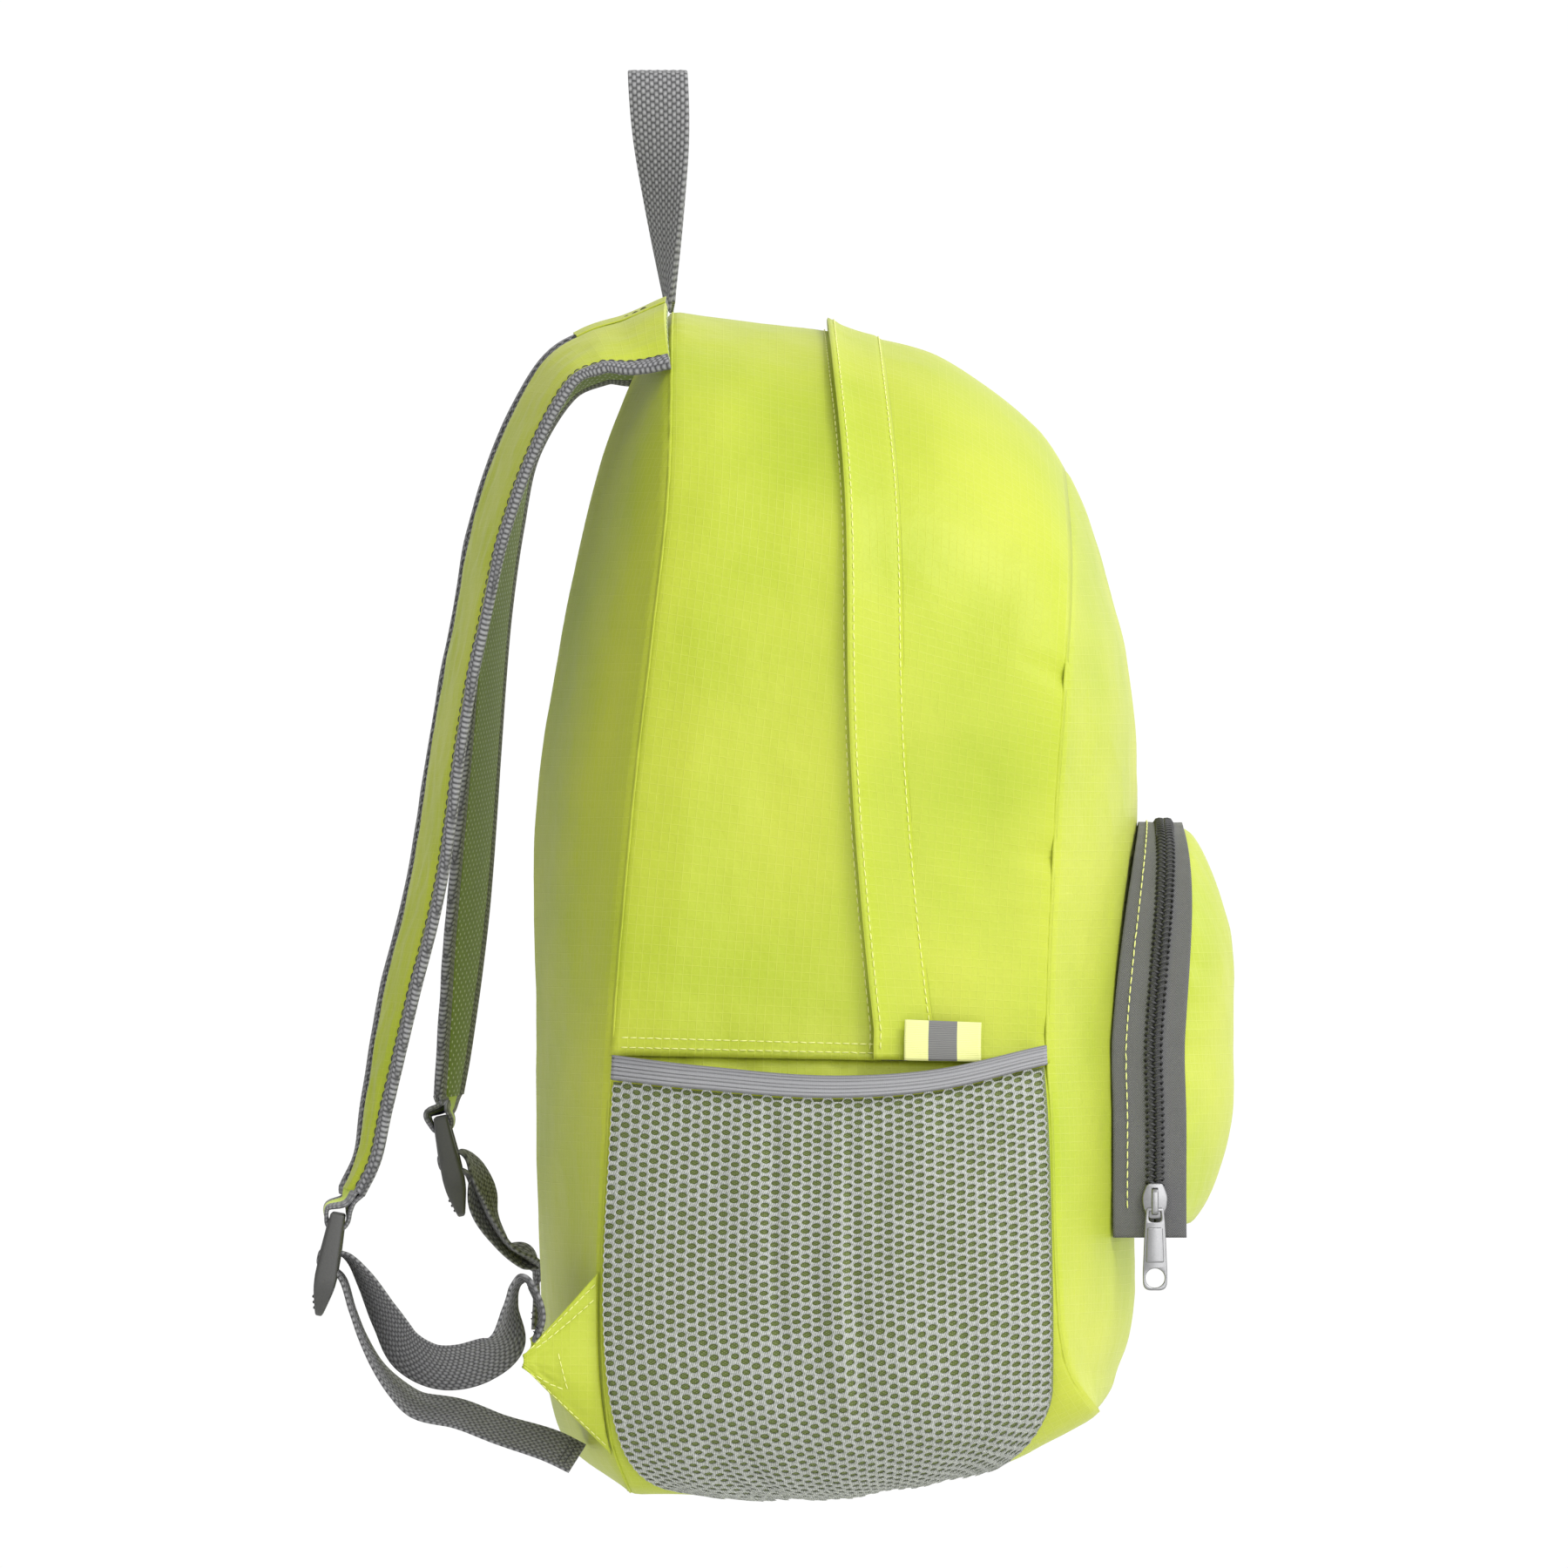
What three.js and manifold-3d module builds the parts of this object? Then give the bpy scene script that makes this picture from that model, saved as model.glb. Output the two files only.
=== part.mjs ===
// A packable daypack of thin coated nylon, hanging by its webbing grab loop.
// Millimetres, +Z up. The worn side faces +Y and the front faces -Y, so the photograph looks
// along +X. The origin is the inside of the top of the grab loop, where the pack hangs.
import * as THREE from 'three';
import { mergeVertices } from 'three/addons/utils/BufferGeometryUtils.js';
import Module from 'manifold-3d';

// Clearances and walls
const gap = 0.3;
const flapClearance = 0.8;
const pouchSeat = 0.8;
const clothWall = 1.4;
const meshWall = 1.6;

// The cloth body
const loopDrop = 87;
const loopLean = 4.5;
const packHeight = 432;
const packWidth = 262;
const frontHeight = 346;
const shoulderDrop = 57;
const gussetDepth = 160;
const backBulge = 34.5;
const frontBulge = 31;
const topBulge = 22;
const sideBulge = 9;
const bottomBulge = 13.5;
const hemHeight = 160;
const foldDepth = 2.2;
const foldFade = 6;

// Main zip and its flap
const zipWidth = 9;
const flapWidth = 22;
const flapWall = 1.4;
const flapLift = 3;
const tabLength = 28;
const tabHeight = 17;
const tabWall = 1.4;

// The front pouch and its zip
const pouchWidth = 160;
const pouchHeight = 151;
const pouchLift = 64;
const pouchWallTop = 15;
const pouchWallFoot = 25;
const pouchWallPower = 6;
const pouchBulge = 25;
const tapeWall = 1.1;
const coilWidth = 6.5;
const coilThickness = 2.6;
const coilProud = 1.1;
const sliderWidth = 9.6;
const sliderHeight = 13;
const sliderThickness = 2;
const sliderLift = 13.4;
const sliderTaper = { top: 0.38, foot: 0.36 };
const bailWidth = 2.2;
const bailBar = 1.2;
const bailReach = 3.2;
const bailHeight = 10;
const pullLength = 30;
const pullWidth = 9;
const pullThickness = 1;
const pullEye = 4.4;
const pullTaper = { top: 0.42, shoulder: 0.4, foot: 0.3, corner: 0.4, hole: 0.36 };

// Mesh side pockets
const meshStand = 10;
const elasticHeight = 8.5;
const elasticWall = 1.8;
const gatherDepth = 3.2;
const bellyPower = 0.7;

// Shoulder straps and their fittings
const strapWidth = 58;
const strapEndWidth = 26;
const strapRoot = 54;
const strapDrop = 311;
const nearReach = 115;
const farReach = 83;
const farShortening = 33;
const padThickness = 2.4;
const undersideThickness = 0.8;
const bindingWidth = 6.5;
const bindingThickness = 3.8;
const webWidth = 22;
const webThickness = 1.5;
const foldThickness = 1.6;
const foldEasing = 3;
const lockWidth = 32;
const lockLength = 38;
const lockThickness = 4.2;
const lockBar = 4;
const lockUpperSlot = 11;
const lockLowerSlot = 7;
const lockTaper = { side: 0.7, foot: 0.3 };
// Thickness of the lock's side rails at their top and corner, and of its foot
const lockRail = { top: 5.2, corner: 7.4, foot: 2.4 };
const nearLock = { out: 5.8, down: 9.5, lean: 0.19 };
const farLock = { out: 3.3, down: 9.5, lean: -0.21 };
const nearTail = { reach: 86.7, drop: 67.5, spread: 16 };
const farTail = { reach: 34, drop: 42, spread: 26 };
const webClear = { entry: 0.5, exit: 1, behind: 1.4 };
const anchorHeight = 64;
const anchorReach = 27;
const anchorTop = 0.188;
const anchorFoldShare = 0.5;
const anchorBlunt = 0.2;

// The grab loop
const loopWidth = 22;
const loopInside = 7;

// How finely the webbing and straps are divided
const strapSteps = 22;
const foldSteps = 20;
const loopSteps = 26;
const slopeStep = 0.004;
const weldReach = 1e-4;

// Outline of the cloth panels: an arched top, straight sides and rounded lower corners
const outline = { archShare: 0.32, archPower: 2.2, cornerShare: 0.12, cornerInset: 0.3 };
const marks = { archEnd: 0.36, sideEnd: 0.74, cornerEnd: 0.87 };
const steps = { arch: 8, side: 7, corner: 4, foot: 3 };

// Seams seen from the side: how far each lies in front of the top of the back seam, in shares of
// the depth
const backSeam = {
  top: -loopDrop,
  height: packHeight,
  rows: [
    { height: 0, depth: -0.094 },
    { height: 0.05, depth: -0.138 },
    { height: 0.15, depth: -0.158 },
    { height: 0.31, depth: -0.142 },
    { height: 0.43, depth: -0.122 },
    { height: 0.6, depth: -0.08 },
    { height: 0.72, depth: -0.042 },
    { height: 0.85, depth: -0.005 },
    { height: 1, depth: 0 },
  ],
};
const frontSeam = {
  top: -loopDrop - shoulderDrop,
  height: frontHeight,
  rows: [
    { height: 0, depth: 0.98 },
    { height: 0.05, depth: 0.91 },
    { height: 0.13, depth: 0.885 },
    { height: 0.31, depth: 0.872 },
    { height: 0.4, depth: 0.862 },
    { height: 0.64, depth: 0.884 },
    { height: 0.78, depth: 0.905 },
    { height: 0.9, depth: 0.917 },
    { height: 1, depth: 0.906 },
  ],
};

// Bulge of the panels up their middle line, in shares of backBulge and frontBulge
const backRows = [
  { height: 0, share: 0 },
  { height: 0.03, share: 0.42 },
  { height: 0.08, share: 0.57 },
  { height: 0.18, share: 0.64 },
  { height: 0.3, share: 0.75 },
  { height: 0.42, share: 0.88 },
  { height: 0.57, share: 0.99 },
  { height: 0.68, share: 1 },
  { height: 0.79, share: 0.88 },
  { height: 0.875, share: 0.72 },
  { height: 0.94, share: 0.4 },
  { height: 1, share: 0 },
];
const frontRows = [
  { height: 0, share: 0 },
  { height: 0.03, share: 0.45 },
  { height: 0.08, share: 0.84 },
  { height: 0.17, share: 0.97 },
  { height: 0.48, share: 1 },
  { height: 0.7, share: 0.93 },
  { height: 0.8, share: 0.74 },
  { height: 0.86, share: 0.52 },
  { height: 0.92, share: 0.33 },
  { height: 0.96, share: 0.19 },
  { height: 1, share: 0 },
];
const panelPower = 2.3;

// Bulge of the side band from the back seam to the front seam, at the top, the bottom and the sides
const topRows = [
  { across: 0, share: 0 },
  { across: 0.2, share: 0.34 },
  { across: 0.39, share: 0.67 },
  { across: 0.65, share: 1 },
  { across: 0.79, share: 0.85 },
  { across: 0.93, share: 0.45 },
  { across: 1, share: 0 },
];
const bottomRows = [
  { across: 0, share: 0 },
  { across: 0.14, share: 0.26 },
  { across: 0.27, share: 0.65 },
  { across: 0.45, share: 1 },
  { across: 0.78, share: 0.95 },
  { across: 0.9, share: 0.52 },
  { across: 1, share: 0 },
];
const sideRows = [
  { across: 0, share: 0 },
  { across: 0.15, share: 0.6 },
  { across: 0.5, share: 1 },
  { across: 0.85, share: 0.6 },
  { across: 1, share: 0 },
];

// Soft folds in the side band: a middle point, half lengths in shares of packHeight, the lean, and
// the depth in shares of foldDepth
const bandFolds = [
  { across: 0.82, height: 0.84, long: 0.15, wide: 0.04, lean: 0.4, share: 1 },
  { across: 0.2, height: 0.9, long: 0.1, wide: 0.04, lean: 1.2, share: 0.7 },
  { across: 0.3, height: 0.55, long: 0.15, wide: 0.05, lean: 0.15, share: 0.8 },
  { across: 0.86, height: 0.55, long: 0.12, wide: 0.04, lean: -0.1, share: 0.8 },
];

// Where the flap's free edge runs down the side band
const flapRows = [
  { height: 0.4, across: 0.6 },
  { height: 0.7, across: 0.485 },
  { height: 0.9, across: 0.43 },
  { height: 1, across: 0.4 },
];

// Bulge of the pouch face up its middle line
const pouchRows = [
  { height: 0, share: 0 },
  { height: 0.06, share: 0.326 },
  { height: 0.13, share: 0.528 },
  { height: 0.25, share: 0.71 },
  { height: 0.38, share: 0.8 },
  { height: 0.6, share: 0.779 },
  { height: 0.71, share: 0.707 },
  { height: 0.79, share: 0.581 },
  { height: 0.88, share: 0.394 },
  { height: 0.97, share: 0.155 },
  { height: 1, share: 0 },
];
const pouchPower = 2.3;
const pouchSteps = 20;
const pouchFootSteps = 8;

// Mesh pockets: rear and front edges on the side band as the pocket goes down, and its gathers
const meshEdgeRows = [
  { down: 0, rear: 0.01, front: 0.99 },
  { down: 0.55, rear: 0.01, front: 0.99 },
  { down: 0.8, rear: 0.03, front: 0.96 },
  { down: 0.92, rear: 0.08, front: 0.88 },
  { down: 1, rear: 0.2, front: 0.78 },
];
const elasticSag = [
  { across: 0, sag: 0 },
  { across: 0.2, sag: 0.02 },
  { across: 0.5, sag: 0.04 },
  { across: 0.75, sag: 0.02 },
  { across: 1, sag: -0.05 },
];
const gathers = [
  { across: 0.12, from: 0.75, to: 1, wide: 0.06, share: 0.5 },
  { across: 0.38, from: 0.1, to: 0.55, wide: 0.05, share: 0.8 },
  { across: 0.54, from: 0.02, to: 0.75, wide: 0.04, share: 1 },
  { across: 0.66, from: 0.05, to: 0.6, wide: 0.05, share: 0.6 },
  { across: 0.8, from: 0.15, to: 0.5, wide: 0.06, share: 0.4 },
];
const meshColumns = 18;

// Straps: down and out in shares of drop and reach, spread, lift and wide in shares of the strap's
// width, and crown in shares of how far the arched seam bends the strap's root
const nearStrapRows = [
  { down: 0, out: 0.032, spread: 0, lift: 0.41, wide: 1, crown: 1 },
  { down: 0.0105, out: 0.1227, spread: 0, lift: 0.355, wide: 1, crown: 0.8 },
  { down: 0.0187, out: 0.2435, spread: 0.02, lift: 0.27, wide: 1, crown: 0.35 },
  { down: 0.045, out: 0.3565, spread: 0.05, lift: 0.255, wide: 1, crown: 0 },
  { down: 0.1274, out: 0.4762, spread: 0.1, lift: 0.25, wide: 1, crown: 0 },
  { down: 0.2242, out: 0.5649, spread: 0.15, lift: 0.235, wide: 1, crown: 0 },
  { down: 0.3258, out: 0.6214, spread: 0.2, lift: 0.21, wide: 0.98, crown: 0 },
  { down: 0.4513, out: 0.6866, spread: 0.27, lift: 0.2, wide: 0.93, crown: 0 },
  { down: 0.6343, out: 0.7616, spread: 0.36, lift: 0.22, wide: 0.8, crown: 0 },
  { down: 0.7714, out: 0.8502, spread: 0.43, lift: 0.22, wide: 0.66, crown: 0 },
  { down: 0.8997, out: 0.9194, spread: 0.49, lift: 0.17, wide: 0.5, crown: 0 },
  { down: 0.9582, out: 0.9476, spread: 0.52, lift: 0.14, wide: 0.46, crown: 0 },
  { down: 1, out: 0.9983, spread: 0.53, lift: 0.13, wide: 0.448, crown: 0 },
];
const farStrapRows = [
  { down: 0, out: 0.042, spread: 0, lift: 0.41, wide: 1, crown: 1 },
  { down: 0.017, out: 0.165, spread: 0, lift: 0.355, wide: 1, crown: 0.8 },
  { down: 0.026, out: 0.335, spread: 0.02, lift: 0.27, wide: 1, crown: 0.35 },
  { down: 0.058, out: 0.51, spread: 0.05, lift: 0.24, wide: 1, crown: 0 },
  { down: 0.142, out: 0.672, spread: 0.1, lift: 0.225, wide: 1, crown: 0 },
  { down: 0.244, out: 0.742, spread: 0.15, lift: 0.215, wide: 1, crown: 0 },
  { down: 0.357, out: 0.79, spread: 0.2, lift: 0.2, wide: 0.98, crown: 0 },
  { down: 0.481, out: 0.822, spread: 0.25, lift: 0.19, wide: 0.93, crown: 0 },
  { down: 0.693, out: 0.88, spread: 0.34, lift: 0.22, wide: 0.8, crown: 0 },
  { down: 0.805, out: 0.915, spread: 0.4, lift: 0.22, wide: 0.68, crown: 0 },
  { down: 0.932, out: 0.958, spread: 0.46, lift: 0.18, wide: 0.5, crown: 0 },
  { down: 1, out: 0.985, spread: 0.49, lift: 0.14, wide: 0.448, crown: 0 },
];

// Webbing from each lock to its anchor, and its free tail, in shares of the span to the anchor or
// to the tail's end
const nearRunRows = [
  { to: 0.02, down: 0.05, spread: 0, lift: 0.1 },
  { to: 0.12, down: 0.28, spread: 0.05, lift: 0.3 },
  { to: 0.23, down: 0.62, spread: 0.15, lift: 0.5 },
  { to: 0.35, down: 0.93, spread: 0.3, lift: 0.68 },
  { to: 0.53, down: 1.07, spread: 0.5, lift: 0.74 },
  { to: 0.73, down: 1.02, spread: 0.7, lift: 0.74 },
  { to: 0.89, down: 0.83, spread: 0.84, lift: 0.6 },
  { to: 0.915, down: 0.5, spread: 0.9, lift: 0.2 },
  { to: 0.95, down: 0.3, spread: 0.94, lift: 0.1 },
  { to: 1, down: 0.25, spread: 0.97, lift: 0.1 },
  { to: 1.06, down: 0.4, spread: 1, lift: 0.1 },
  { to: 1.09, down: 0.6, spread: 1, lift: 0.08 },
  { to: 1.05, down: 0.83, spread: 1, lift: 0.05 },
];
const farRunRows = [
  { to: 0.03, down: 0.02, spread: 0, lift: 0 },
  { to: 0.2, down: 0.1, spread: 0.05, lift: 0.25 },
  { to: 0.33, down: 0.26, spread: 0.15, lift: 0.5 },
  { to: 0.5, down: 0.4, spread: 0.3, lift: 0.3 },
  { to: 0.75, down: 0.52, spread: 0.55, lift: 0.15 },
  { to: 1, down: 0.58, spread: 0.8, lift: 0.1 },
  { to: 1.06, down: 0.72, spread: 1, lift: 0.05 },
  { to: 1.04, down: 0.92, spread: 1, lift: 0.05 },
];
const nearTailRows = [
  { to: 0.01, down: 0.03, spread: 0, lift: 0.05 },
  { to: 0.055, down: 0.204, spread: 0.05, lift: 0.05 },
  { to: 0.1, down: 0.355, spread: 0.1, lift: 0.08 },
  { to: 0.166, down: 0.51, spread: 0.2, lift: 0.15 },
  { to: 0.255, down: 0.64, spread: 0.3, lift: 0.3 },
  { to: 0.336, down: 0.715, spread: 0.4, lift: 0.42 },
  { to: 0.506, down: 0.763, spread: 0.6, lift: 0.45 },
  { to: 0.675, down: 0.844, spread: 0.8, lift: 0.45 },
  { to: 0.886, down: 0.93, spread: 0.95, lift: 0.5 },
  { to: 1, down: 1, spread: 1, lift: 0.5 },
];
const farTailRows = [
  { to: 0.02, down: 0.03, spread: 0, lift: 0.05 },
  { to: 0.14, down: 0.2, spread: 0.1, lift: 0.1 },
  { to: 0.26, down: 0.42, spread: 0.2, lift: 0.15 },
  { to: 0.44, down: 0.66, spread: 0.4, lift: 0.2 },
  { to: 0.67, down: 0.8, spread: 0.7, lift: 0.2 },
  { to: 1, down: 1, spread: 1, lift: 0.2 },
];

// The strap's end round the top bar of the lock and the webbing round its middle bar, each in
// shares of the turn's radius
const foldTurns = [
  { down: -0.9, out: 1.1 },
  { down: 0.1, out: 1 },
  { down: 0.75, out: 0.7 },
  { down: 1, out: 0 },
  { down: 0.75, out: -0.7 },
  { down: 0.1, out: -1 },
  { down: -0.9, out: -0.9 },
];
const webTurns = [
  { down: -1.05, out: -0.3 },
  { down: -1.05, out: 0.55 },
  { down: -0.7, out: 1.05 },
  { down: 0, out: 1.15 },
  { down: 0.7, out: 1.05 },
  { down: 1.05, out: 0.55 },
  { down: 1.05, out: -0.3 },
];

// Half of the grab loop from its top to its sewn end: down in shares of the drop, out in shares of
// its half gap, and the turn of the webbing in degrees
const loopRows = [
  { place: 0, down: 0, out: 0, turn: 90 },
  { place: 0.1, down: 0.02, out: 0.65, turn: 90 },
  { place: 0.2, down: 0.09, out: 0.97, turn: 86 },
  { place: 0.4, down: 0.28, out: 1, turn: 68 },
  { place: 0.6, down: 0.5, out: 0.82, turn: 45 },
  { place: 0.8, down: 0.75, out: 0.45, turn: 23 },
  { place: 1, down: 0.985, out: 0, turn: 3 },
];

// A smooth value read from table rows, which are in the order of their first column
const read = (rows, column, at) => {
  const key = Object.keys(rows[0])[0];
  const last = rows.length - 1;
  let i = 0;
  while (i < last - 1 && at > rows[i + 1][key]) i += 1;
  const slope = (j) => {
    const before = rows[Math.max(j - 1, 0)];
    const after = rows[Math.min(j + 1, last)];
    return (after[column] - before[column]) / (after[key] - before[key]);
  };
  const span = rows[i + 1][key] - rows[i][key];
  const u = THREE.MathUtils.clamp((at - rows[i][key]) / span, 0, 1);
  const rise = (3 - 2 * u) * u * u;
  const leave = u * (1 - u) * (1 - u) * span * slope(i);
  const arrive = u * u * (1 - u) * span * slope(i + 1);
  return rows[i][column] * (1 - rise) + rows[i + 1][column] * rise + leave - arrive;
};

const quarter = Math.PI / 2;
const halfPack = packWidth / 2;
const range = (from, to, count) =>
  Array.from({ length: count + 1 }, (_, i) => THREE.MathUtils.lerp(from, to, i / count));

// A closed geometry from corner points and triangles, turned so that its faces point out
const closedGeometry = (points, triangles) => {
  let volume = 0;
  for (const [a, b, c] of triangles) volume += points[a].dot(points[b].clone().cross(points[c]));
  const turned = volume < 0 ? triangles.map(([a, b, c]) => [a, c, b]) : triangles;
  const geometry = new THREE.BufferGeometry();
  const places = points.flatMap((p) => p.toArray());
  geometry.setAttribute('position', new THREE.Float32BufferAttribute(places, 3));
  geometry.setIndex(turned.flat());
  geometry.computeVertexNormals();
  return geometry;
};

// A wall of even thickness behind a surface of triangles whose faces point out
const thicken = (points, triangles, wall) => {
  const normals = points.map(() => new THREE.Vector3());
  const edges = new Set();
  for (const [a, b, c] of triangles) {
    const face = points[b].clone().sub(points[a]).cross(points[c].clone().sub(points[a]));
    for (const corner of [a, b, c]) normals[corner].add(face);
    for (const edge of [[a, b], [b, c], [c, a]]) edges.add(edge.join());
  }
  const count = points.length;
  const inner = points.map((p, i) => p.clone().addScaledVector(normals[i].normalize(), -wall));
  const all = [...triangles];
  for (const [a, b, c] of triangles) {
    all.push([a + count, c + count, b + count]);
    for (const [from, to] of [[a, b], [b, c], [c, a]]) {
      if (edges.has([to, from].join())) continue;
      all.push([to, from, from + count], [to, from + count, to + count]);
    }
  }
  return closedGeometry([...points, ...inner], all);
};

// A four-sided patch of cloth: pointAt gives the outer surface at each pair of values
const clothPatch = (us, vs, wall, pointAt) => {
  const points = us.flatMap((u) => vs.map((v) => pointAt(u, v)));
  const triangles = [];
  for (let i = 0; i < us.length - 1; i += 1) {
    for (let j = 0; j < vs.length - 1; j += 1) {
      const a = i * vs.length + j;
      const b = a + vs.length;
      triangles.push([a, b, a + 1], [b, b + 1, a + 1]);
    }
  }
  return thicken(points, triangles, wall);
};

// A panel of cloth spun out from a middle point over shares of the way to its edge
const clothPanel = (shares, count, wall, faces, pointAt) => {
  const points = [pointAt(0, 0)];
  const triangles = [];
  shares.forEach((share, ring) => {
    for (let k = 0; k < count; k += 1) points.push(pointAt(share, k));
    for (let k = 0; k < count; k += 1) {
      const next = (k + 1) % count;
      const a = 1 + ring * count;
      if (ring === 0) {
        triangles.push([0, a + k, a + next]);
      } else {
        const b = a - count;
        triangles.push([b + k, a + k, a + next], [b + k, a + next, b + next]);
      }
    }
  });
  return thicken(points, faces < 0 ? triangles : triangles.map(([a, b, c]) => [a, c, b]), wall);
};

// A bar through cross sections, each given by its low points and its high points from edge to edge
const bar = (sections) => {
  const width = sections[0].low.length;
  const points = sections.flatMap(({ low, high }) => [...low, ...high]);
  const triangles = [];
  const quad = (a, b, c, d) => triangles.push([a, b, c], [a, c, d]);
  const loop = [...range(0, width - 1, width - 1), ...range(2 * width - 1, width, width - 1)];
  for (let i = 0; i < sections.length - 1; i += 1) {
    const a = i * 2 * width;
    const b = a + 2 * width;
    loop.forEach((corner, k) => {
      const next = loop[(k + 1) % loop.length];
      if (corner < width) quad(a + corner, a + next, b + next, b + corner);
      else quad(b + corner, a + corner, a + next, b + next);
    });
  }
  const end = (sections.length - 1) * 2 * width;
  for (let k = 0; k < width - 1; k += 1) {
    quad(k, k + width, k + 1 + width, k + 1);
    quad(end + k, end + k + 1, end + k + 1 + width, end + k + width);
  }
  return closedGeometry(points, triangles);
};

// The panels' outline: t runs from the top centre (0) down the -X side to the bottom centre (1), or
// down the +X side to -1, and a value past 1 carries on up the +X side
const outlineAt = (t) => {
  const wrapped = t > 1 ? t - 2 : t;
  const side = wrapped < 0 ? 1 : -1;
  const half = Math.abs(wrapped);
  const { archShare, archPower, cornerShare, cornerInset } = outline;
  if (half < marks.archEnd) {
    const turn = (half / marks.archEnd) * quarter;
    const height = 1 - archShare + archShare * Math.cos(turn) ** (2 / archPower);
    return { across: side * Math.sin(turn) ** (2 / archPower), height };
  }
  if (half < marks.sideEnd) {
    const run = (half - marks.archEnd) / (marks.sideEnd - marks.archEnd);
    return { across: side, height: THREE.MathUtils.lerp(1 - archShare, cornerShare, run) };
  }
  if (half < marks.cornerEnd) {
    const turn = ((half - marks.sideEnd) / (marks.cornerEnd - marks.sideEnd)) * quarter;
    const across = side * (1 - cornerInset + cornerInset * Math.cos(turn));
    return { across, height: cornerShare * (1 - Math.sin(turn)) };
  }
  const run = (half - marks.cornerEnd) / (1 - marks.cornerEnd);
  return { across: side * (1 - cornerInset) * (1 - run), height: 0 };
};
const outlineWidth = (height) => {
  const { archShare, archPower, cornerShare, cornerInset } = outline;
  const rise = Math.max(height - 1 + archShare, 0) / archShare;
  const fall = Math.max(1 - height / cornerShare, 0);
  if (fall > 0) return 1 - cornerInset + cornerInset * Math.sqrt(Math.max(1 - fall * fall, 0));
  return Math.max(1 - Math.min(rise, 1) ** archPower, 0) ** (1 / archPower);
};
const archHeight = (across) => {
  const { archShare, archPower } = outline;
  return 1 - archShare + archShare * (1 - across ** archPower) ** (1 / archPower);
};
const sideTurn = (height) => {
  const run = (1 - outline.archShare - height) / (1 - outline.archShare - outline.cornerShare);
  return THREE.MathUtils.lerp(marks.archEnd, marks.sideEnd, run);
};

const halfStations = [
  ...range(0, marks.archEnd, steps.arch).slice(0, -1),
  ...range(marks.archEnd, marks.sideEnd, steps.side).slice(0, -1),
  ...range(marks.sideEnd, marks.cornerEnd, steps.corner).slice(0, -1),
  ...range(marks.cornerEnd, 1, steps.foot),
];
const ringStations = [...halfStations, ...halfStations.slice(1, -1).reverse().map((t) => 2 - t)];
const stationsFrom = (from, to) => {
  const inside = [...halfStations.map((t) => -t), ...ringStations].filter((t) => t > from && t < to);
  return [from, ...[...new Set(inside)].sort((a, b) => a - b), to];
};

const seamY = (seam, height) => -loopLean - gussetDepth * read(seam.rows, 'depth', height);
const seamPoint = (seam, t) => {
  const { across, height } = outlineAt(t);
  const z = seam.top - seam.height * (1 - height);
  return new THREE.Vector3(across * halfPack, seamY(seam, height), z);
};
const outwardAt = (t) => {
  const bothSeams = (at) => seamPoint(backSeam, at).add(seamPoint(frontSeam, at));
  const along = bothSeams(t + slopeStep).sub(bothSeams(t - slopeStep));
  return new THREE.Vector3(along.z, 0, -along.x).normalize();
};

const foldSink = (across, height) => {
  let sink = 0;
  for (const fold of bandFolds) {
    const forward = (across - fold.across) * gussetDepth;
    const up = (height - fold.height) * packHeight;
    const along = up * Math.cos(fold.lean) + forward * Math.sin(fold.lean);
    const aside = forward * Math.cos(fold.lean) - up * Math.sin(fold.lean);
    const reach = (along / (fold.long * packHeight)) ** 2 + (aside / (fold.wide * packHeight)) ** 2;
    sink += fold.share * foldDepth * Math.exp(-reach);
  }
  return sink;
};

// A point of the side band, from the back seam (0) to the front seam (1), and out from its cloth by off
const bandPoint = (t, across, off = 0) => {
  const outward = outwardAt(t);
  const up = Math.max(outward.z, 0) ** 2;
  const down = Math.max(-outward.z, 0) ** 2;
  const bulge = up * topBulge * read(topRows, 'share', across)
    + down * bottomBulge * read(bottomRows, 'share', across)
    + outward.x ** 2 * sideBulge * read(sideRows, 'share', across);
  const edge = Math.min(1, Math.min(across, 1 - across) * foldFade);
  const sink = edge * outward.x ** 2 * foldSink(across, outlineAt(t).height);
  const point = seamPoint(backSeam, t).lerp(seamPoint(frontSeam, t), across);
  return point.addScaledVector(outward, bulge - sink + off);
};

// The outer surface of the back or front panel at a place across and up
const panelY = (seam, rows, bulge, x, z) => {
  const height = THREE.MathUtils.clamp(1 - (seam.top - z) / seam.height, 0, 1);
  const edge = Math.max(outlineWidth(height) * halfPack, gap);
  const aside = Math.min(Math.abs(x) / edge, 1);
  return seamY(seam, height) + bulge * read(rows, 'share', height) * (1 - aside ** panelPower);
};
const backY = (x, z) => panelY(backSeam, backRows, backBulge, x, z);
const frontY = (x, z) => panelY(frontSeam, frontRows, -frontBulge, x, z);

const panelShares = [0.3, 0.55, 0.75, 0.9, 1];
const panelGeometry = (seam, faces, surfaceY) => {
  const middle = new THREE.Vector3(0, 0, seam.top - seam.height / 2);
  return clothPanel(panelShares, ringStations.length, clothWall, faces, (share, k) => {
    const t = ringStations[k];
    const edge = seamPoint(seam, t).addScaledVector(outwardAt(t), -clothWall - gap);
    const point = middle.clone().lerp(edge, share);
    point.y = surfaceY(point.x, point.z);
    return point;
  });
};

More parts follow.
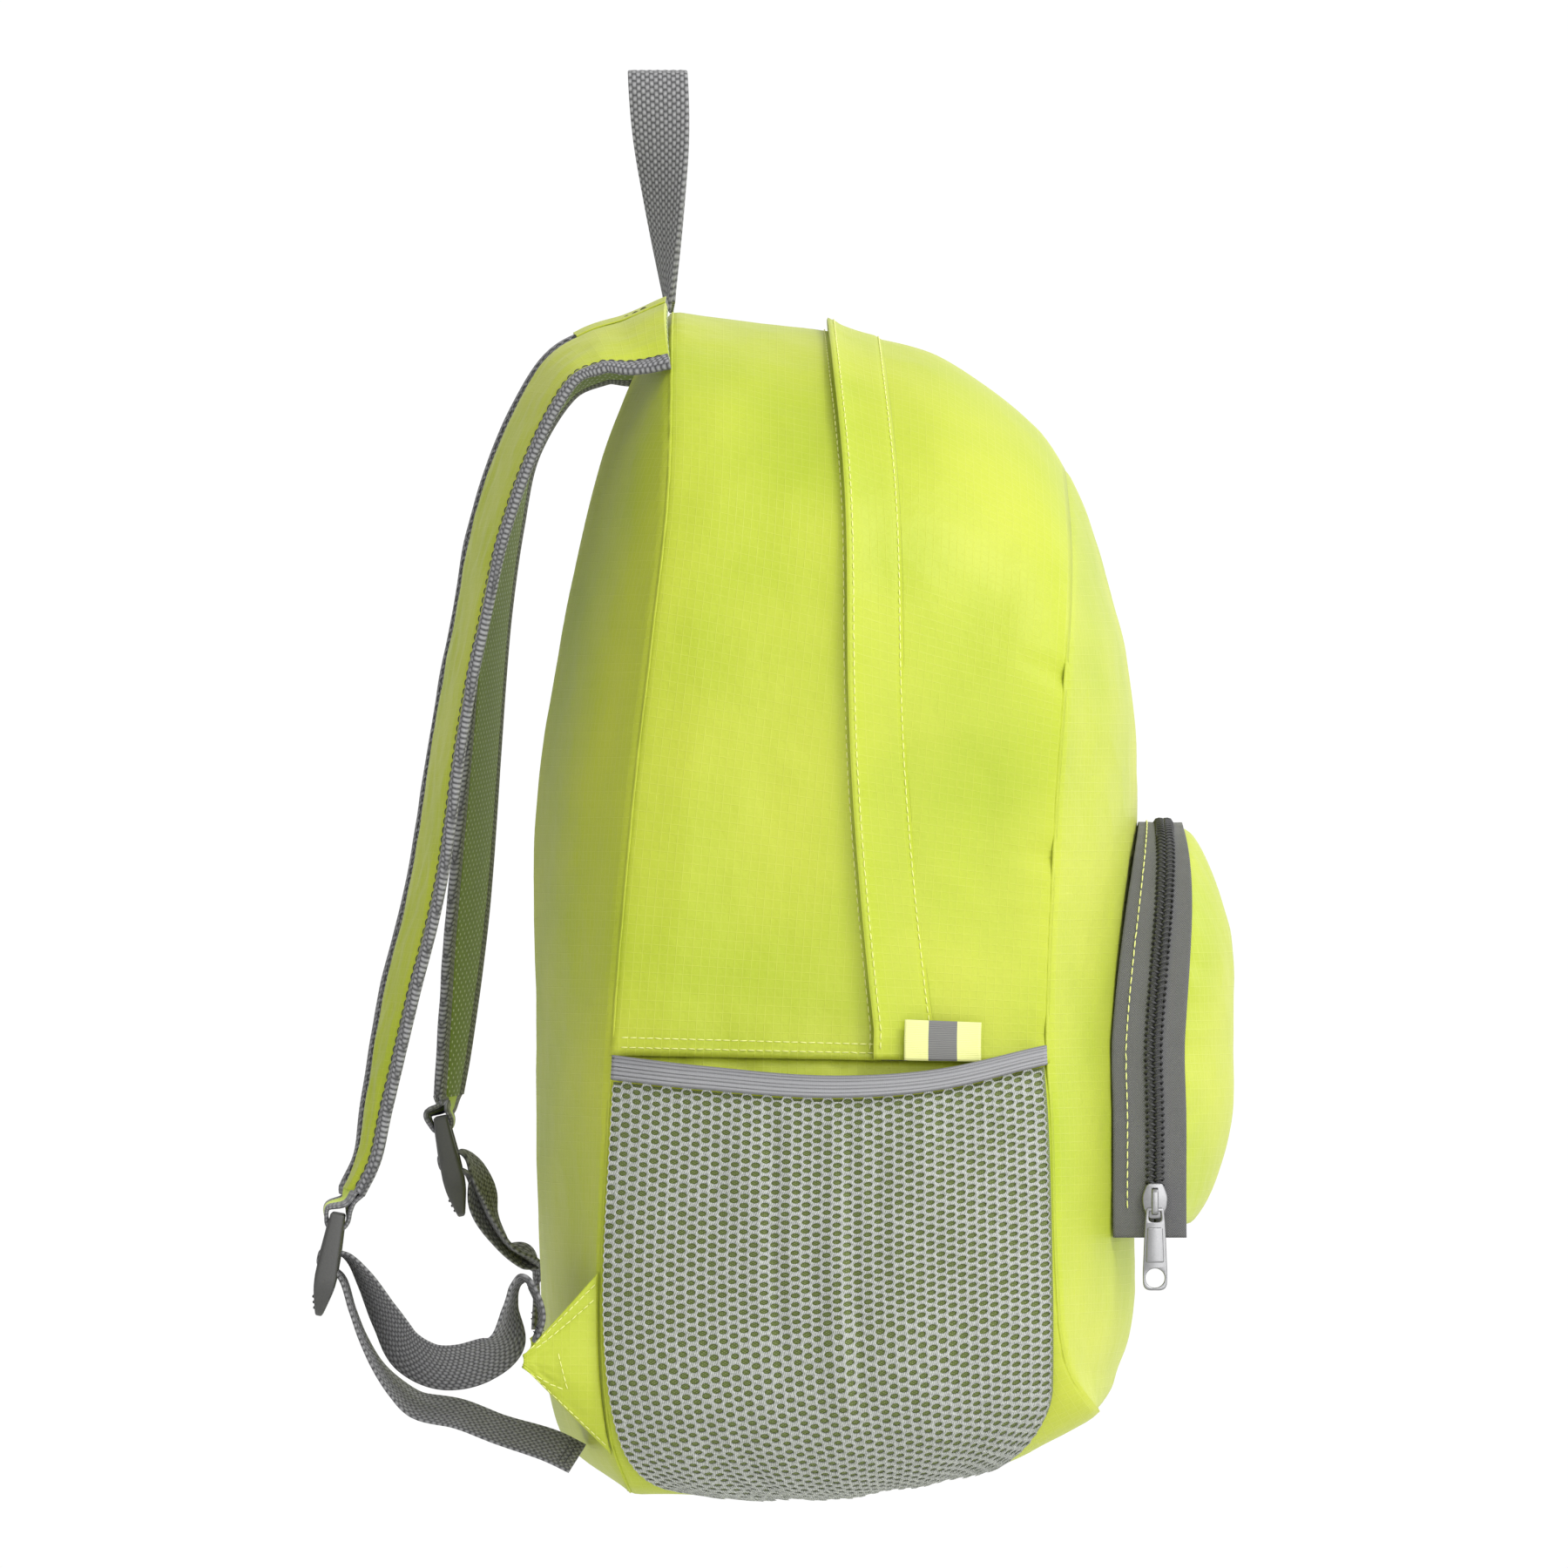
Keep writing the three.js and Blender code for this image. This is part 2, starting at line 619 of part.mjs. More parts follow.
const finishes = {
  cloth: { color: 0xd2e14b, roughness: 0.55, metalness: 0 },
  webbing: { color: 0x8c8c8e, roughness: 0.85, metalness: 0 },
  net: { color: 0xbfc2bb, roughness: 0.7, metalness: 0 },
  tape: { color: 0x6a6a6c, roughness: 0.8, metalness: 0 },
  coil: { color: 0x3a3a3c, roughness: 0.45, metalness: 0 },
  nickel: { color: 0xc9c9c9, roughness: 0.3, metalness: 1 },
  plastic: { color: 0x4a4a48, roughness: 0.5, metalness: 0 },
  ribbon: { color: 0xedee90, roughness: 0.6, metalness: 0 },
  lining: { color: 0x7b8c3c, roughness: 0.8, metalness: 0 },
};
const group = new THREE.Group();
const addPiece = (name, geometry, finish, parent = group) => {
  const mesh = new THREE.Mesh(geometry, new THREE.MeshStandardMaterial(finishes[finish]));
  mesh.name = name;
  parent.add(mesh);
  return mesh;
};

addPiece('back_panel', panelGeometry(backSeam, 1, backY), 'cloth');
addPiece('front_panel', panelGeometry(frontSeam, -1, frontY), 'cloth');

// The side band: two upper strips on either side of the main zip and one lower strip round the bottom
const hemShare = hemHeight / packHeight;
const hemTurn = sideTurn(hemShare);
const straightRise = packHeight * (1 - outline.archShare - outline.cornerShare);
const hemGap = (gap / straightRise) * (marks.sideEnd - marks.archEnd);
const upperStations = stationsFrom(-hemTurn + hemGap, hemTurn - hemGap);
const lowerStations = stationsFrom(hemTurn, 2 - hemTurn);
const flapEdge = (t) => read(flapRows, 'across', Math.max(outlineAt(t).height, flapRows[0].height));
const zipFrom = (t) => flapEdge(t) + (flapWidth / 3 - zipWidth / 2) / gussetDepth;
const zipTo = (t) => zipFrom(t) + zipWidth / gussetDepth;
const gapShare = gap / gussetDepth;

addPiece('gusset_rear', clothPatch(upperStations, range(0, 1, 4), clothWall,
  (t, v) => bandPoint(t, v * (zipFrom(t) - gapShare))), 'cloth');
addPiece('main_zip', clothPatch(upperStations, range(0, 1, 1), clothWall,
  (t, v) => bandPoint(t, THREE.MathUtils.lerp(zipFrom(t), zipTo(t), v))), 'tape');
addPiece('gusset_front', clothPatch(upperStations, range(0, 1, 5), clothWall,
  (t, v) => bandPoint(t, THREE.MathUtils.lerp(zipTo(t) + gapShare, 1, v))), 'cloth');
addPiece('lower_gusset', clothPatch(lowerStations, range(0, 1, 8), clothWall, bandPoint), 'cloth');

const flapOff = flapClearance + flapWall;
addPiece('zip_flap', clothPatch(upperStations, range(0, 1, 2), flapWall, (t, v) => {
  const off = flapOff + flapLift * (1 - v) ** 2;
  return bandPoint(t, flapEdge(t) + (v * flapWidth) / gussetDepth, off);
}), 'cloth');

// The front pouch stands on the front panel
const pouchFoot = frontSeam.top - frontHeight + pouchLift;
const pouchPlan = (q, inset = 0) => {
  const turn = Math.PI * q;
  const x = -Math.sign(Math.cos(turn)) * Math.abs(Math.cos(turn)) ** (2 / pouchPower);
  const z = Math.sin(turn) ** (2 / pouchPower);
  return { x: x * (pouchWidth / 2 - inset), z: pouchFoot + z * (pouchHeight - inset) };
};
const pouchRise = (z) => {
  const share = THREE.MathUtils.clamp((z - pouchFoot) / pouchHeight, 0, 1);
  return THREE.MathUtils.lerp(pouchWallFoot, pouchWallTop, share ** pouchWallPower);
};
const pouchWallPoint = (q, forward, off = 0) => {
  const { x, z } = pouchPlan(q, -off);
  const plan = pouchPlan(q);
  return new THREE.Vector3(x, frontY(plan.x, plan.z) - pouchSeat - forward * pouchRise(plan.z), z);
};
const coilShare = 0.6;
const coilHalf = (q) => coilWidth / 2 / pouchRise(pouchPlan(q).z);
const pouchGap = (q) => gap / pouchRise(pouchPlan(q).z);
const pouchStations = range(0, 1, pouchSteps);
const pouchStrip = (wall, off, from, to) => clothPatch(pouchStations, range(1, 0, 1), wall,
  (q, v) => pouchWallPoint(q, THREE.MathUtils.lerp(from(q), to(q), v), off));
addPiece('pocket_tape_inner',
  pouchStrip(tapeWall, 0, () => 0, (q) => coilShare - coilHalf(q) - pouchGap(q)), 'tape');
addPiece('pocket_tape_outer',
  pouchStrip(tapeWall, 0, (q) => coilShare + coilHalf(q) + pouchGap(q), () => 1), 'tape');
addPiece('pocket_zip_chain', pouchStrip(coilThickness, coilProud,
  (q) => coilShare - coilHalf(q), (q) => coilShare + coilHalf(q)), 'coil');

const pouchInset = tapeWall + gap;
const pouchEdge = [
  ...pouchStations.map((q) => ({ ...pouchPlan(q, pouchInset), foot: false })),
  ...range(1, -1, pouchFootSteps).slice(1, -1)
    .map((side) => ({ x: side * (pouchWidth / 2 - pouchInset), z: pouchFoot, foot: true })),
];
const pouchHalf = (height) => {
  const rest = Math.max(1 - height ** pouchPower, 0);
  return (pouchWidth / 2) * rest ** (1 / pouchPower);
};
const pouchFaceY = (x, z) => {
  const height = THREE.MathUtils.clamp((z - pouchFoot) / pouchHeight, 0, 1);
  const half = Math.max(pouchHalf(height), gap);
  const aside = Math.min(Math.abs(x) / half, 1);
  const rim = frontY(half, z) - pouchSeat - pouchRise(z);
  return rim - pouchBulge * read(pouchRows, 'share', height) * (1 - aside ** pouchPower);
};
const pouchShares = [0.35, 0.65, 0.85, 0.95, 1];
addPiece('pocket_face', clothPanel(pouchShares, pouchEdge.length, clothWall, -1, (share, k) => {
  const edge = pouchEdge[k];
  const x = edge.x * share;
  const z = THREE.MathUtils.lerp(pouchFoot + pouchHeight / 2, edge.z, share);
  const sewn = edge.foot && share === 1;
  return new THREE.Vector3(x, sewn ? frontY(x, z) - pouchSeat - clothWall : pouchFaceY(x, z), z);
}), 'cloth');

// Slider and pull on the near side of the pouch; the pull's top bar hangs in the slider's bail
const wasm = await Module();
wasm.setup();
const toSolid = (geometry) => {
  const bare = geometry.clone();
  bare.deleteAttribute('normal');
  bare.deleteAttribute('uv');
  const merged = mergeVertices(bare, weldReach);
  return new wasm.Manifold(new wasm.Mesh({
    numProp: 3,
    vertProperties: new Float32Array(merged.attributes.position.array),
    triVerts: new Uint32Array(merged.index.array),
  }));
};
const toGeometry = (solid) => {
  const { vertProperties, triVerts } = solid.getMesh();
  const geometry = new THREE.BufferGeometry();
  geometry.setAttribute('position', new THREE.BufferAttribute(new Float32Array(vertProperties), 3));
  geometry.setIndex(new THREE.BufferAttribute(new Uint32Array(triVerts), 1));
  geometry.computeVertexNormals();
  return geometry;
};
const roundHole = (x, y, radius) => new THREE.Path().absarc(x, y, radius, 0, Math.PI * 2, true);
const boxHole = (left, bottom, right, top) => new THREE.Path([
  new THREE.Vector2(left, bottom),
  new THREE.Vector2(left, top),
  new THREE.Vector2(right, top),
  new THREE.Vector2(right, bottom),
]);
const outlineShape = (pairs) => new THREE.Shape(pairs.map(([x, y]) => new THREE.Vector2(x, y)));
const extrude = (shape, depth) =>
  new THREE.ExtrudeGeometry(shape, { depth, bevelEnabled: false, curveSegments: 8 });
// Stands a shape's plane in YZ, with its depth towards +X
const standUp = (geometry) => geometry.rotateX(quarter).rotateZ(quarter);

const sliderZ = pouchFoot + sliderLift;
const sliderTurn = Math.asin((sliderLift / pouchHeight) ** (pouchPower / 2)) / Math.PI;
const sliderPlace = pouchWallPoint(sliderTurn, coilShare, coilProud + gap);
const slider = new THREE.Group();
slider.position.set(sliderPlace.x, sliderPlace.y, sliderZ);
slider.rotation.z = Math.PI;
group.add(slider);

const plateShape = outlineShape([
  [-sliderWidth * sliderTaper.top, sliderHeight / 2],
  [-sliderWidth / 2, 0],
  [-sliderWidth * sliderTaper.foot, -sliderHeight / 2],
  [sliderWidth * sliderTaper.foot, -sliderHeight / 2],
  [sliderWidth / 2, 0],
  [sliderWidth * sliderTaper.top, sliderHeight / 2],
]);
const plate = standUp(extrude(plateShape, sliderThickness));
const bailHalf = bailHeight / 2;
const bailShape = outlineShape([
  [sliderThickness / 2, -bailHalf],
  [sliderThickness + bailReach - bailBar / 2, -bailHalf],
  [sliderThickness + bailReach, -bailHalf + bailBar / 2],
  [sliderThickness + bailReach, bailHalf - bailBar],
  [sliderThickness + bailReach - bailBar, bailHalf],
  [sliderThickness / 2, bailHalf],
]);
const bailInner = bailHalf - bailBar;
const bailInside = sliderThickness + bailReach - bailBar;
bailShape.holes.push(boxHole(sliderThickness, -bailInner, bailInside, bailInner));
const bail = extrude(bailShape, bailWidth).translate(0, 0, -bailWidth / 2).rotateX(quarter);
addPiece('zip_slider', toGeometry(toSolid(plate).add(toSolid(bail))), 'nickel', slider);

const pull = new THREE.Group();
pull.position.set(sliderThickness + (bailReach - bailBar) / 2, 0, -bailInner + gap + pullThickness / 2);
slider.add(pull);
const pullTop = pullThickness / 2;
const pullEnd = pullTop - pullLength;
const pullShape = outlineShape([
  [-pullWidth * pullTaper.top, pullTop],
  [-pullWidth / 2, -pullLength * pullTaper.shoulder],
  [-pullWidth / 2, pullEnd + pullWidth * pullTaper.corner],
  [-pullWidth * pullTaper.foot, pullEnd],
  [pullWidth * pullTaper.foot, pullEnd],
  [pullWidth / 2, pullEnd + pullWidth * pullTaper.corner],
  [pullWidth / 2, -pullLength * pullTaper.shoulder],
  [pullWidth * pullTaper.top, pullTop],
]);
const eyeHalf = bailWidth / 2 + 2 * gap;
pullShape.holes.push(boxHole(-eyeHalf, -pullTop - pullEye, eyeHalf, -pullTop));
pullShape.holes.push(roundHole(0, pullEnd + pullWidth / 2, pullWidth * pullTaper.hole));
const pullPlate = standUp(extrude(pullShape, pullThickness)).translate(-pullThickness / 2, 0, 0);
addPiece('zip_pull', pullPlate, 'nickel', pull);

// Side pockets of net, gathered under an elastic edge
const meshFrom = hemTurn + hemGap;
const meshTo = marks.cornerEnd - (marks.cornerEnd - marks.sideEnd) / 8;
const meshDown = (t) => (t - meshFrom) / (meshTo - meshFrom);
const elasticTop = (across) => sideTurn(hemShare - read(elasticSag, 'sag', across) * hemShare);
const elasticTurn = sideTurn(hemShare - elasticHeight / packHeight) - hemTurn;
const pocketStand = (across, down) => {
  const belly = Math.sin(Math.PI * THREE.MathUtils.clamp(across, 0, 1)) ** bellyPower;
  return meshStand * belly * (1 - THREE.MathUtils.clamp(down, 0, 1) ** 2);
};
const gatherRise = (across, down) => {
  let rise = 0;
  for (const gather of gathers) {
    const middle = (gather.from + gather.to) / 2;
    const half = (gather.to - gather.from) / 2;
    const along = Math.max(1 - ((down - middle) / half) ** 2, 0);
    const aside = Math.exp(-(((across - gather.across) / gather.wide) ** 2));
    rise += gather.share * gatherDepth * along * aside;
  }
  return rise;
};
// Each side of the pack with its label and the sign of its turn round the outline
const bothSides = [
  { side: -1, label: 'left', turnSign: 1 },
  { side: 1, label: 'right', turnSign: -1 },
];
const inOrder = (columns, turnSign) => (turnSign > 0 ? columns : [...columns].reverse());
for (const { label, turnSign } of bothSides) {
  const columns = inOrder(range(0, 1, meshColumns), turnSign);
  const rows = stationsFrom(meshFrom, meshTo);
  addPiece(`mesh_pocket_${label}`, clothPatch(rows, columns, meshWall, (t, v) => {
    const down = meshDown(t);
    const top = elasticTop(v) + elasticTurn + hemGap;
    const turn = THREE.MathUtils.lerp(top, meshTo, down);
    const across = THREE.MathUtils.lerp(
      read(meshEdgeRows, 'rear', down), read(meshEdgeRows, 'front', down), v);
    const off = 2 * gap + meshWall + pocketStand(across, down) + gatherRise(v, down);
    return bandPoint(turnSign * turn, across, off);
  }), 'net');
  const elasticColumns = inOrder(range(0, 1, meshColumns / 2), turnSign);
  addPiece(`elastic_${label}`, clothPatch([0, 1], elasticColumns, elasticWall, (low, v) => {
    const across = THREE.MathUtils.lerp(meshEdgeRows[0].rear, meshEdgeRows[0].front, v);
    const off = 2 * gap + elasticWall + pocketStand(across, 0);
    return bandPoint(turnSign * (elasticTop(v) + low * elasticTurn), across, off);
  }), 'webbing');
}

// Folded ribbon tabs over the lower ends of the main zip's flap
const tabFrom = sideTurn(hemShare + (tabHeight + gap) / packHeight);
const tabTo = sideTurn(hemShare + gap / packHeight);
const tabOff = flapOff + 2 * gap + tabWall + flapLift / 4;
for (const { label, turnSign } of bothSides) {
  const start = flapRows[0].across + flapWidth / gussetDepth / 2;
  const columns = inOrder(range(start, start + tabLength / gussetDepth, 2), turnSign);
  addPiece(`zip_tab_${label}`, clothPatch([tabFrom, tabTo], columns, tabWall,
    (t, v) => bandPoint(turnSign * t, v, tabOff)), 'ribbon');
}

// Sewn triangles at the lower corners that hold the webbing
const anchorFoot = anchorTop - anchorHeight / packHeight;
const anchorEnd = THREE.MathUtils.lerp(marks.sideEnd, marks.cornerEnd, anchorFoldShare);
const anchorTurns = stationsFrom(sideTurn(anchorTop), anchorEnd);
const anchorApex = (side) => {
  const height = (anchorTop + anchorFoot) / 2;
  const z = backSeam.top - packHeight * (1 - height);
  return new THREE.Vector3(side * halfPack, seamY(backSeam, height) + anchorReach, z);
};
for (const { side, label, turnSign } of bothSides) {
  const apex = anchorApex(side);
  const shares = inOrder(range(0, 1, 2), turnSign);
  addPiece(`anchor_tab_${label}`, clothPatch(anchorTurns, shares, clothWall, (t, v) => {
    const foot = seamPoint(backSeam, turnSign * t).add(new THREE.Vector3(0, gap, 0));
    const share = (t - anchorTurns[0]) / (anchorTurns.at(-1) - anchorTurns[0]);
    const tip = apex.clone().add(new THREE.Vector3(0, 0, (0.5 - share) * anchorReach * anchorBlunt));
    return foot.lerp(tip, 1 - v);
  }), 'cloth');
}

// Frames along a path: across is the way of the strap's width and up is its outer face
const framesAlong = (pathAt, count, acrossAt) => range(0, 1, count).map((u) => {
  const behind = pathAt(Math.max(u - slopeStep, 0));
  const along = pathAt(Math.min(u + slopeStep, 1)).sub(behind).normalize();
  const across = acrossAt(u, along);
  across.addScaledVector(along, -across.dot(along)).normalize();
  return { u, at: pathAt(u), across, up: across.clone().cross(along) };
});
// Width runs across the pack, with one edge lifted by the sine of its lean
const leaning = (sineAt) => (u, along) => {
  const normal = new THREE.Vector3(1, 0, 0).cross(along).normalize();
  const sine = sineAt(u);
  const level = along.clone().cross(normal).multiplyScalar(Math.sqrt(1 - sine * sine));
  return level.addScaledVector(normal, sine);
};
const strip = (frames, placesAt, low, high, riseAt = () => 0) => bar(frames.map((frame) => {
  const edge = (level) => placesAt(frame.u).map((place) => frame.at.clone()
    .addScaledVector(frame.across, place)
    .addScaledVector(frame.up, level + riseAt(frame.u, place)));
  return { low: edge(low), high: edge(high) };
}));
const placed = (rows) => rows.map((row, i) => ({ place: i / (rows.length - 1), ...row }));

const archZ = (x) => {
  const height = archHeight(Math.min(Math.abs(x) / halfPack, 1));
  return backSeam.top - packHeight * (1 - height);
};
const rootHalf = (strapWidth / 2) * Math.sqrt(1 - nearStrapRows[0].lift ** 2);
const rootChord = (archZ(strapRoot - rootHalf) + archZ(strapRoot + rootHalf)) / 2;
const rootZ = rootChord + undersideThickness + 3 * gap;
const rootCrown = archZ(strapRoot) - rootChord;
const straps = [
  { side: -1, label: 'left', rows: nearStrapRows, reach: nearReach, drop: strapDrop,
    lock: nearLock, run: nearRunRows, tail: nearTailRows, tailSize: nearTail },
  { side: 1, label: 'right', rows: farStrapRows, reach: farReach, drop: strapDrop - farShortening,
    lock: farLock, run: farRunRows, tail: farTailRows, tailSize: farTail },
];
for (const { side, label, rows, reach, drop, lock, run, tail, tailSize } of straps) {
  const table = placed(rows);
  const pathAt = (u) => new THREE.Vector3(
    side * (strapRoot + read(table, 'spread', u) * strapWidth),
    -loopLean + read(table, 'out', u) * reach,
    rootZ - read(table, 'down', u) * drop,
  );
  const sineAt = (u) => (-side * read(table, 'lift', u)) / read(table, 'wide', u);
  const frames = framesAlong(pathAt, strapSteps, leaning(sineAt));
  const halfAt = (u) => (strapWidth / 2) * read(table, 'wide', u);
  const riseAt = (u, place) => rootCrown * read(table, 'crown', u) * (1 - (place / halfAt(u)) ** 2);
  const padHalf = (u) => halfAt(u) - bindingWidth - gap;
  const padPlaces = (u) => [-padHalf(u), 0, padHalf(u)];
  addPiece(`strap_pad_${label}`, strip(frames, padPlaces, 0, padThickness, riseAt), 'cloth');
  addPiece(`strap_underside_${label}`,
    strip(frames, padPlaces, -gap - undersideThickness, -gap, riseAt), 'lining');
  const bindingLow = (padThickness - undersideThickness - gap - bindingThickness) / 2;
  for (const [edge, which] of [[side, 'outer'], [-side, 'inner']]) {
    const places = (u) => [edge * (halfAt(u) - bindingWidth), edge * halfAt(u)].sort((a, b) => a - b);
    addPiece(`binding_${which}_${label}`,
      strip(frames, places, bindingLow, bindingLow + bindingThickness, riseAt), 'webbing');
  }

  // The lock hangs in the strap's folded end
  const end = frames.at(-1);
  const tangent = end.across.clone().cross(end.up).negate();
  const top = end.at.clone().add(new THREE.Vector3(0, lock.out, -lock.down));
  const lockDown = new THREE.Vector3(0, Math.sin(lock.lean), -Math.cos(lock.lean));
  const lockOut = new THREE.Vector3(0, Math.cos(lock.lean), Math.sin(lock.lean));
  const inLock = (down, out) => top.clone()
    .addScaledVector(lockDown, down).addScaledVector(lockOut, out);
  const plateTop = lockBar / 2;
  const plateFoot = plateTop - lockLength;
  const lockShape = outlineShape([
    [-lockWidth / 2, plateTop],
    [-lockWidth / 2, plateFoot * lockTaper.side],
    [-lockWidth * lockTaper.foot, plateFoot],
    [lockWidth * lockTaper.foot, plateFoot],
    [lockWidth / 2, plateFoot * lockTaper.side],
    [lockWidth / 2, plateTop],
  ]);
  const slotHalf = strapEndWidth / 2 + gap;
  const lowerTop = -plateTop - lockUpperSlot - lockBar;
  lockShape.holes.push(boxHole(-slotHalf, -plateTop - lockUpperSlot, slotHalf, -plateTop));
  lockShape.holes.push(boxHole(-slotHalf, lowerTop - lockLowerSlot, slotHalf, lowerTop));
  const lockPlate = extrude(lockShape, lockThickness).translate(0, 0, -lockThickness / 2);
  const corners = lockPlate.attributes.position;
  for (let i = 0; i < corners.count; i += 1) {
    if (corners.getY(i) < plateFoot + gap) {
      corners.setZ(i, Math.sign(corners.getZ(i)) * lockRail.foot / 2);
    }
  }
  const railShape = outlineShape([
    [-lockRail.corner / 2, plateFoot * lockTaper.side],
    [lockRail.corner / 2, plateFoot * lockTaper.side],
    [lockRail.top / 2, plateTop],
    [-lockRail.top / 2, plateTop],
  ]);
  const railWidth = lockWidth / 2 - slotHalf;
  const rails = [-lockWidth / 2, slotHalf].map((x) =>
    toSolid(standUp(extrude(railShape, railWidth)).translate(x, 0, 0)));
  const lockBody = toSolid(lockPlate.rotateX(quarter)).add(rails[0]).add(rails[1]);
  const lockMesh = addPiece(`ladder_lock_${label}`, toGeometry(lockBody), 'plastic');
  lockMesh.position.copy(top);
  lockMesh.rotation.x = lock.lean;

  const round = Math.hypot(lockBar, lockThickness) / 2 + gap + foldThickness / 2;
  const foldEnd = (up, past) => end.at.clone()
    .addScaledVector(tangent, past).addScaledVector(end.up, up);
  const legApart = foldThickness / 2 + gap;
  const foldMiddle = (padThickness - undersideThickness) / 2;
  const foldCurve = new THREE.CatmullRomCurve3([
    foldEnd(foldMiddle + legApart, 2 * gap),
    foldEnd(foldMiddle + legApart, bindingThickness),
    ...foldTurns.map(({ down, out }) => inLock(down * round, out * round)),
    foldEnd(foldMiddle - legApart, bindingThickness),
    foldEnd(foldMiddle - legApart, 2 * gap),
  ]);
  const foldLean = leaning((u) => sineAt(1) * (1 - 2 * u) ** foldEasing);
  const foldFrames = framesAlong((u) => foldCurve.getPoint(u), foldSteps, foldLean);
  const foldEdges = () => [gap - strapEndWidth / 2, strapEndWidth / 2 - gap];
  addPiece(`buckle_loop_${label}`,
    strip(foldFrames, foldEdges, -foldThickness / 2, foldThickness / 2), 'webbing');

  // Webbing from the anchor up through the upper slot, round the middle bar and out as a free tail
  const barDown = plateTop + lockUpperSlot + lockBar / 2;
  const webRound = lockThickness / 2 + gap + webThickness / 2;
  const webBeside = lockBar / 2 + gap + webThickness / 2;
  const entry = inLock(barDown - webBeside - webClear.entry, -webRound * webClear.behind);
  const exit = inLock(barDown + webBeside + webClear.exit, -webRound * webClear.behind);
  const apex = anchorApex(side);
  apex.x -= side * (clothWall + 2 * gap + webWidth / 2);
  const between = (start, finish, row) => new THREE.Vector3(
    THREE.MathUtils.lerp(start.x, finish.x, row.spread),
    THREE.MathUtils.lerp(start.y, finish.y, row.to),
    THREE.MathUtils.lerp(start.z, finish.z, row.down),
  );
  const tailWay = new THREE.Vector3(side * tailSize.spread, -tailSize.reach, -tailSize.drop);
  const tailEnd = exit.clone().add(tailWay);
  const around = webTurns.map(({ down, out }) => inLock(barDown + down * webBeside, out * webRound));
  const webPoints = [
    ...[...run].reverse().map((row) => ({ at: between(entry, apex, row), lift: row.lift })),
    ...around.map((at) => ({ at, lift: 0 })),
    ...tail.map((row) => ({ at: between(exit, tailEnd, row), lift: row.lift })),
  ];
  const webCurve = new THREE.CatmullRomCurve3(webPoints.map(({ at }) => at));
  const lifts = placed(webPoints.map(({ lift }) => ({ lift })));
  const webFrames = framesAlong((u) => webCurve.getPoint(u), webPoints.length * 2,
    leaning((u) => side * read(lifts, 'lift', u)));
  const webEdges = () => [-webWidth / 2, webWidth / 2];
  addPiece(`adjuster_webbing_${label}`,
    strip(webFrames, webEdges, -webThickness / 2, webThickness / 2), 'webbing');
}

// The grab loop is one length of webbing, folded over and twisted so that its ends lie flat on the seam
const loopPath = (u) => {
  const place = Math.abs(2 * u - 1);
  const side = u < 0.5 ? -1 : 1;
  const down = read(loopRows, 'down', place);
  const stack = (side * (webThickness + gap) * down * down) / 2;
  return new THREE.Vector3(
    side * read(loopRows, 'out', place) * (loopInside + webThickness / 2),
    -loopLean * down - stack,
    webThickness / 2 - down * (loopDrop + webThickness / 2),
  );
};
const loopFrames = framesAlong(loopPath, loopSteps, (u) => {
  const turn = THREE.MathUtils.degToRad(read(loopRows, 'turn', Math.abs(2 * u - 1)));
  return new THREE.Vector3(Math.cos(turn), Math.sin(turn), 0);
});
const loopEdges = () => [-loopWidth / 2, loopWidth / 2];
addPiece('grab_loop', strip(loopFrames, loopEdges, -webThickness / 2, webThickness / 2), 'webbing');

export default group;
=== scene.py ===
import bmesh
import bpy
import itertools
import math
import numpy as np
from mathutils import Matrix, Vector


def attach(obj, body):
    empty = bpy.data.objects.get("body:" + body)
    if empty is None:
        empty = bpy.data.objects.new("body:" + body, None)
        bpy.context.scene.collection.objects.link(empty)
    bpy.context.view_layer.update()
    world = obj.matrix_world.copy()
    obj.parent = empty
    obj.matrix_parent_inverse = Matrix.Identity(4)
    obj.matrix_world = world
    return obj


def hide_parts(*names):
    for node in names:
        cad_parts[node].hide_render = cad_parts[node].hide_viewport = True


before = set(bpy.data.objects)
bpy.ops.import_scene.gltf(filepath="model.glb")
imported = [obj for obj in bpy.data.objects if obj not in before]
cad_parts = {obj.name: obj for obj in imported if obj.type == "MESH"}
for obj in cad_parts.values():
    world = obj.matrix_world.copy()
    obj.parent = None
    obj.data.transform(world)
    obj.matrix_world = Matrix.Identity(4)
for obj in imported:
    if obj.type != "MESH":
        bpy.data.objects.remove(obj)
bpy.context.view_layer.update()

# A thin lime daypack hanging by its webbing loop, seen from its side. Shapes are worked out in
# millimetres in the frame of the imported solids, and go into the scene in metres.
toMetres = 0.001
gap = 0.3
quarter = math.pi / 2


# Shader maths: a wire is a node's socket, and sums on wires add their Math nodes
class Wire:
    def __init__(self, finish, socket):
        self.finish, self.socket = finish, socket

    def math(self, operation, *others):
        values = {i + 1: other for i, other in enumerate(others)}
        return self.finish.node("Math", {"operation": operation}, {0: self, **values})["Value"]

    def __add__(self, other):
        return self.math("ADD", other)

    def __sub__(self, other):
        return self.math("SUBTRACT", other)

    def __mul__(self, other):
        return self.math("MULTIPLY", other)

    def __truediv__(self, other):
        return self.math("DIVIDE", other)

    def __pow__(self, other):
        return self.math("POWER", other)

    def __rsub__(self, other):
        return self * -1 + other

    __radd__, __rmul__ = __add__, __mul__


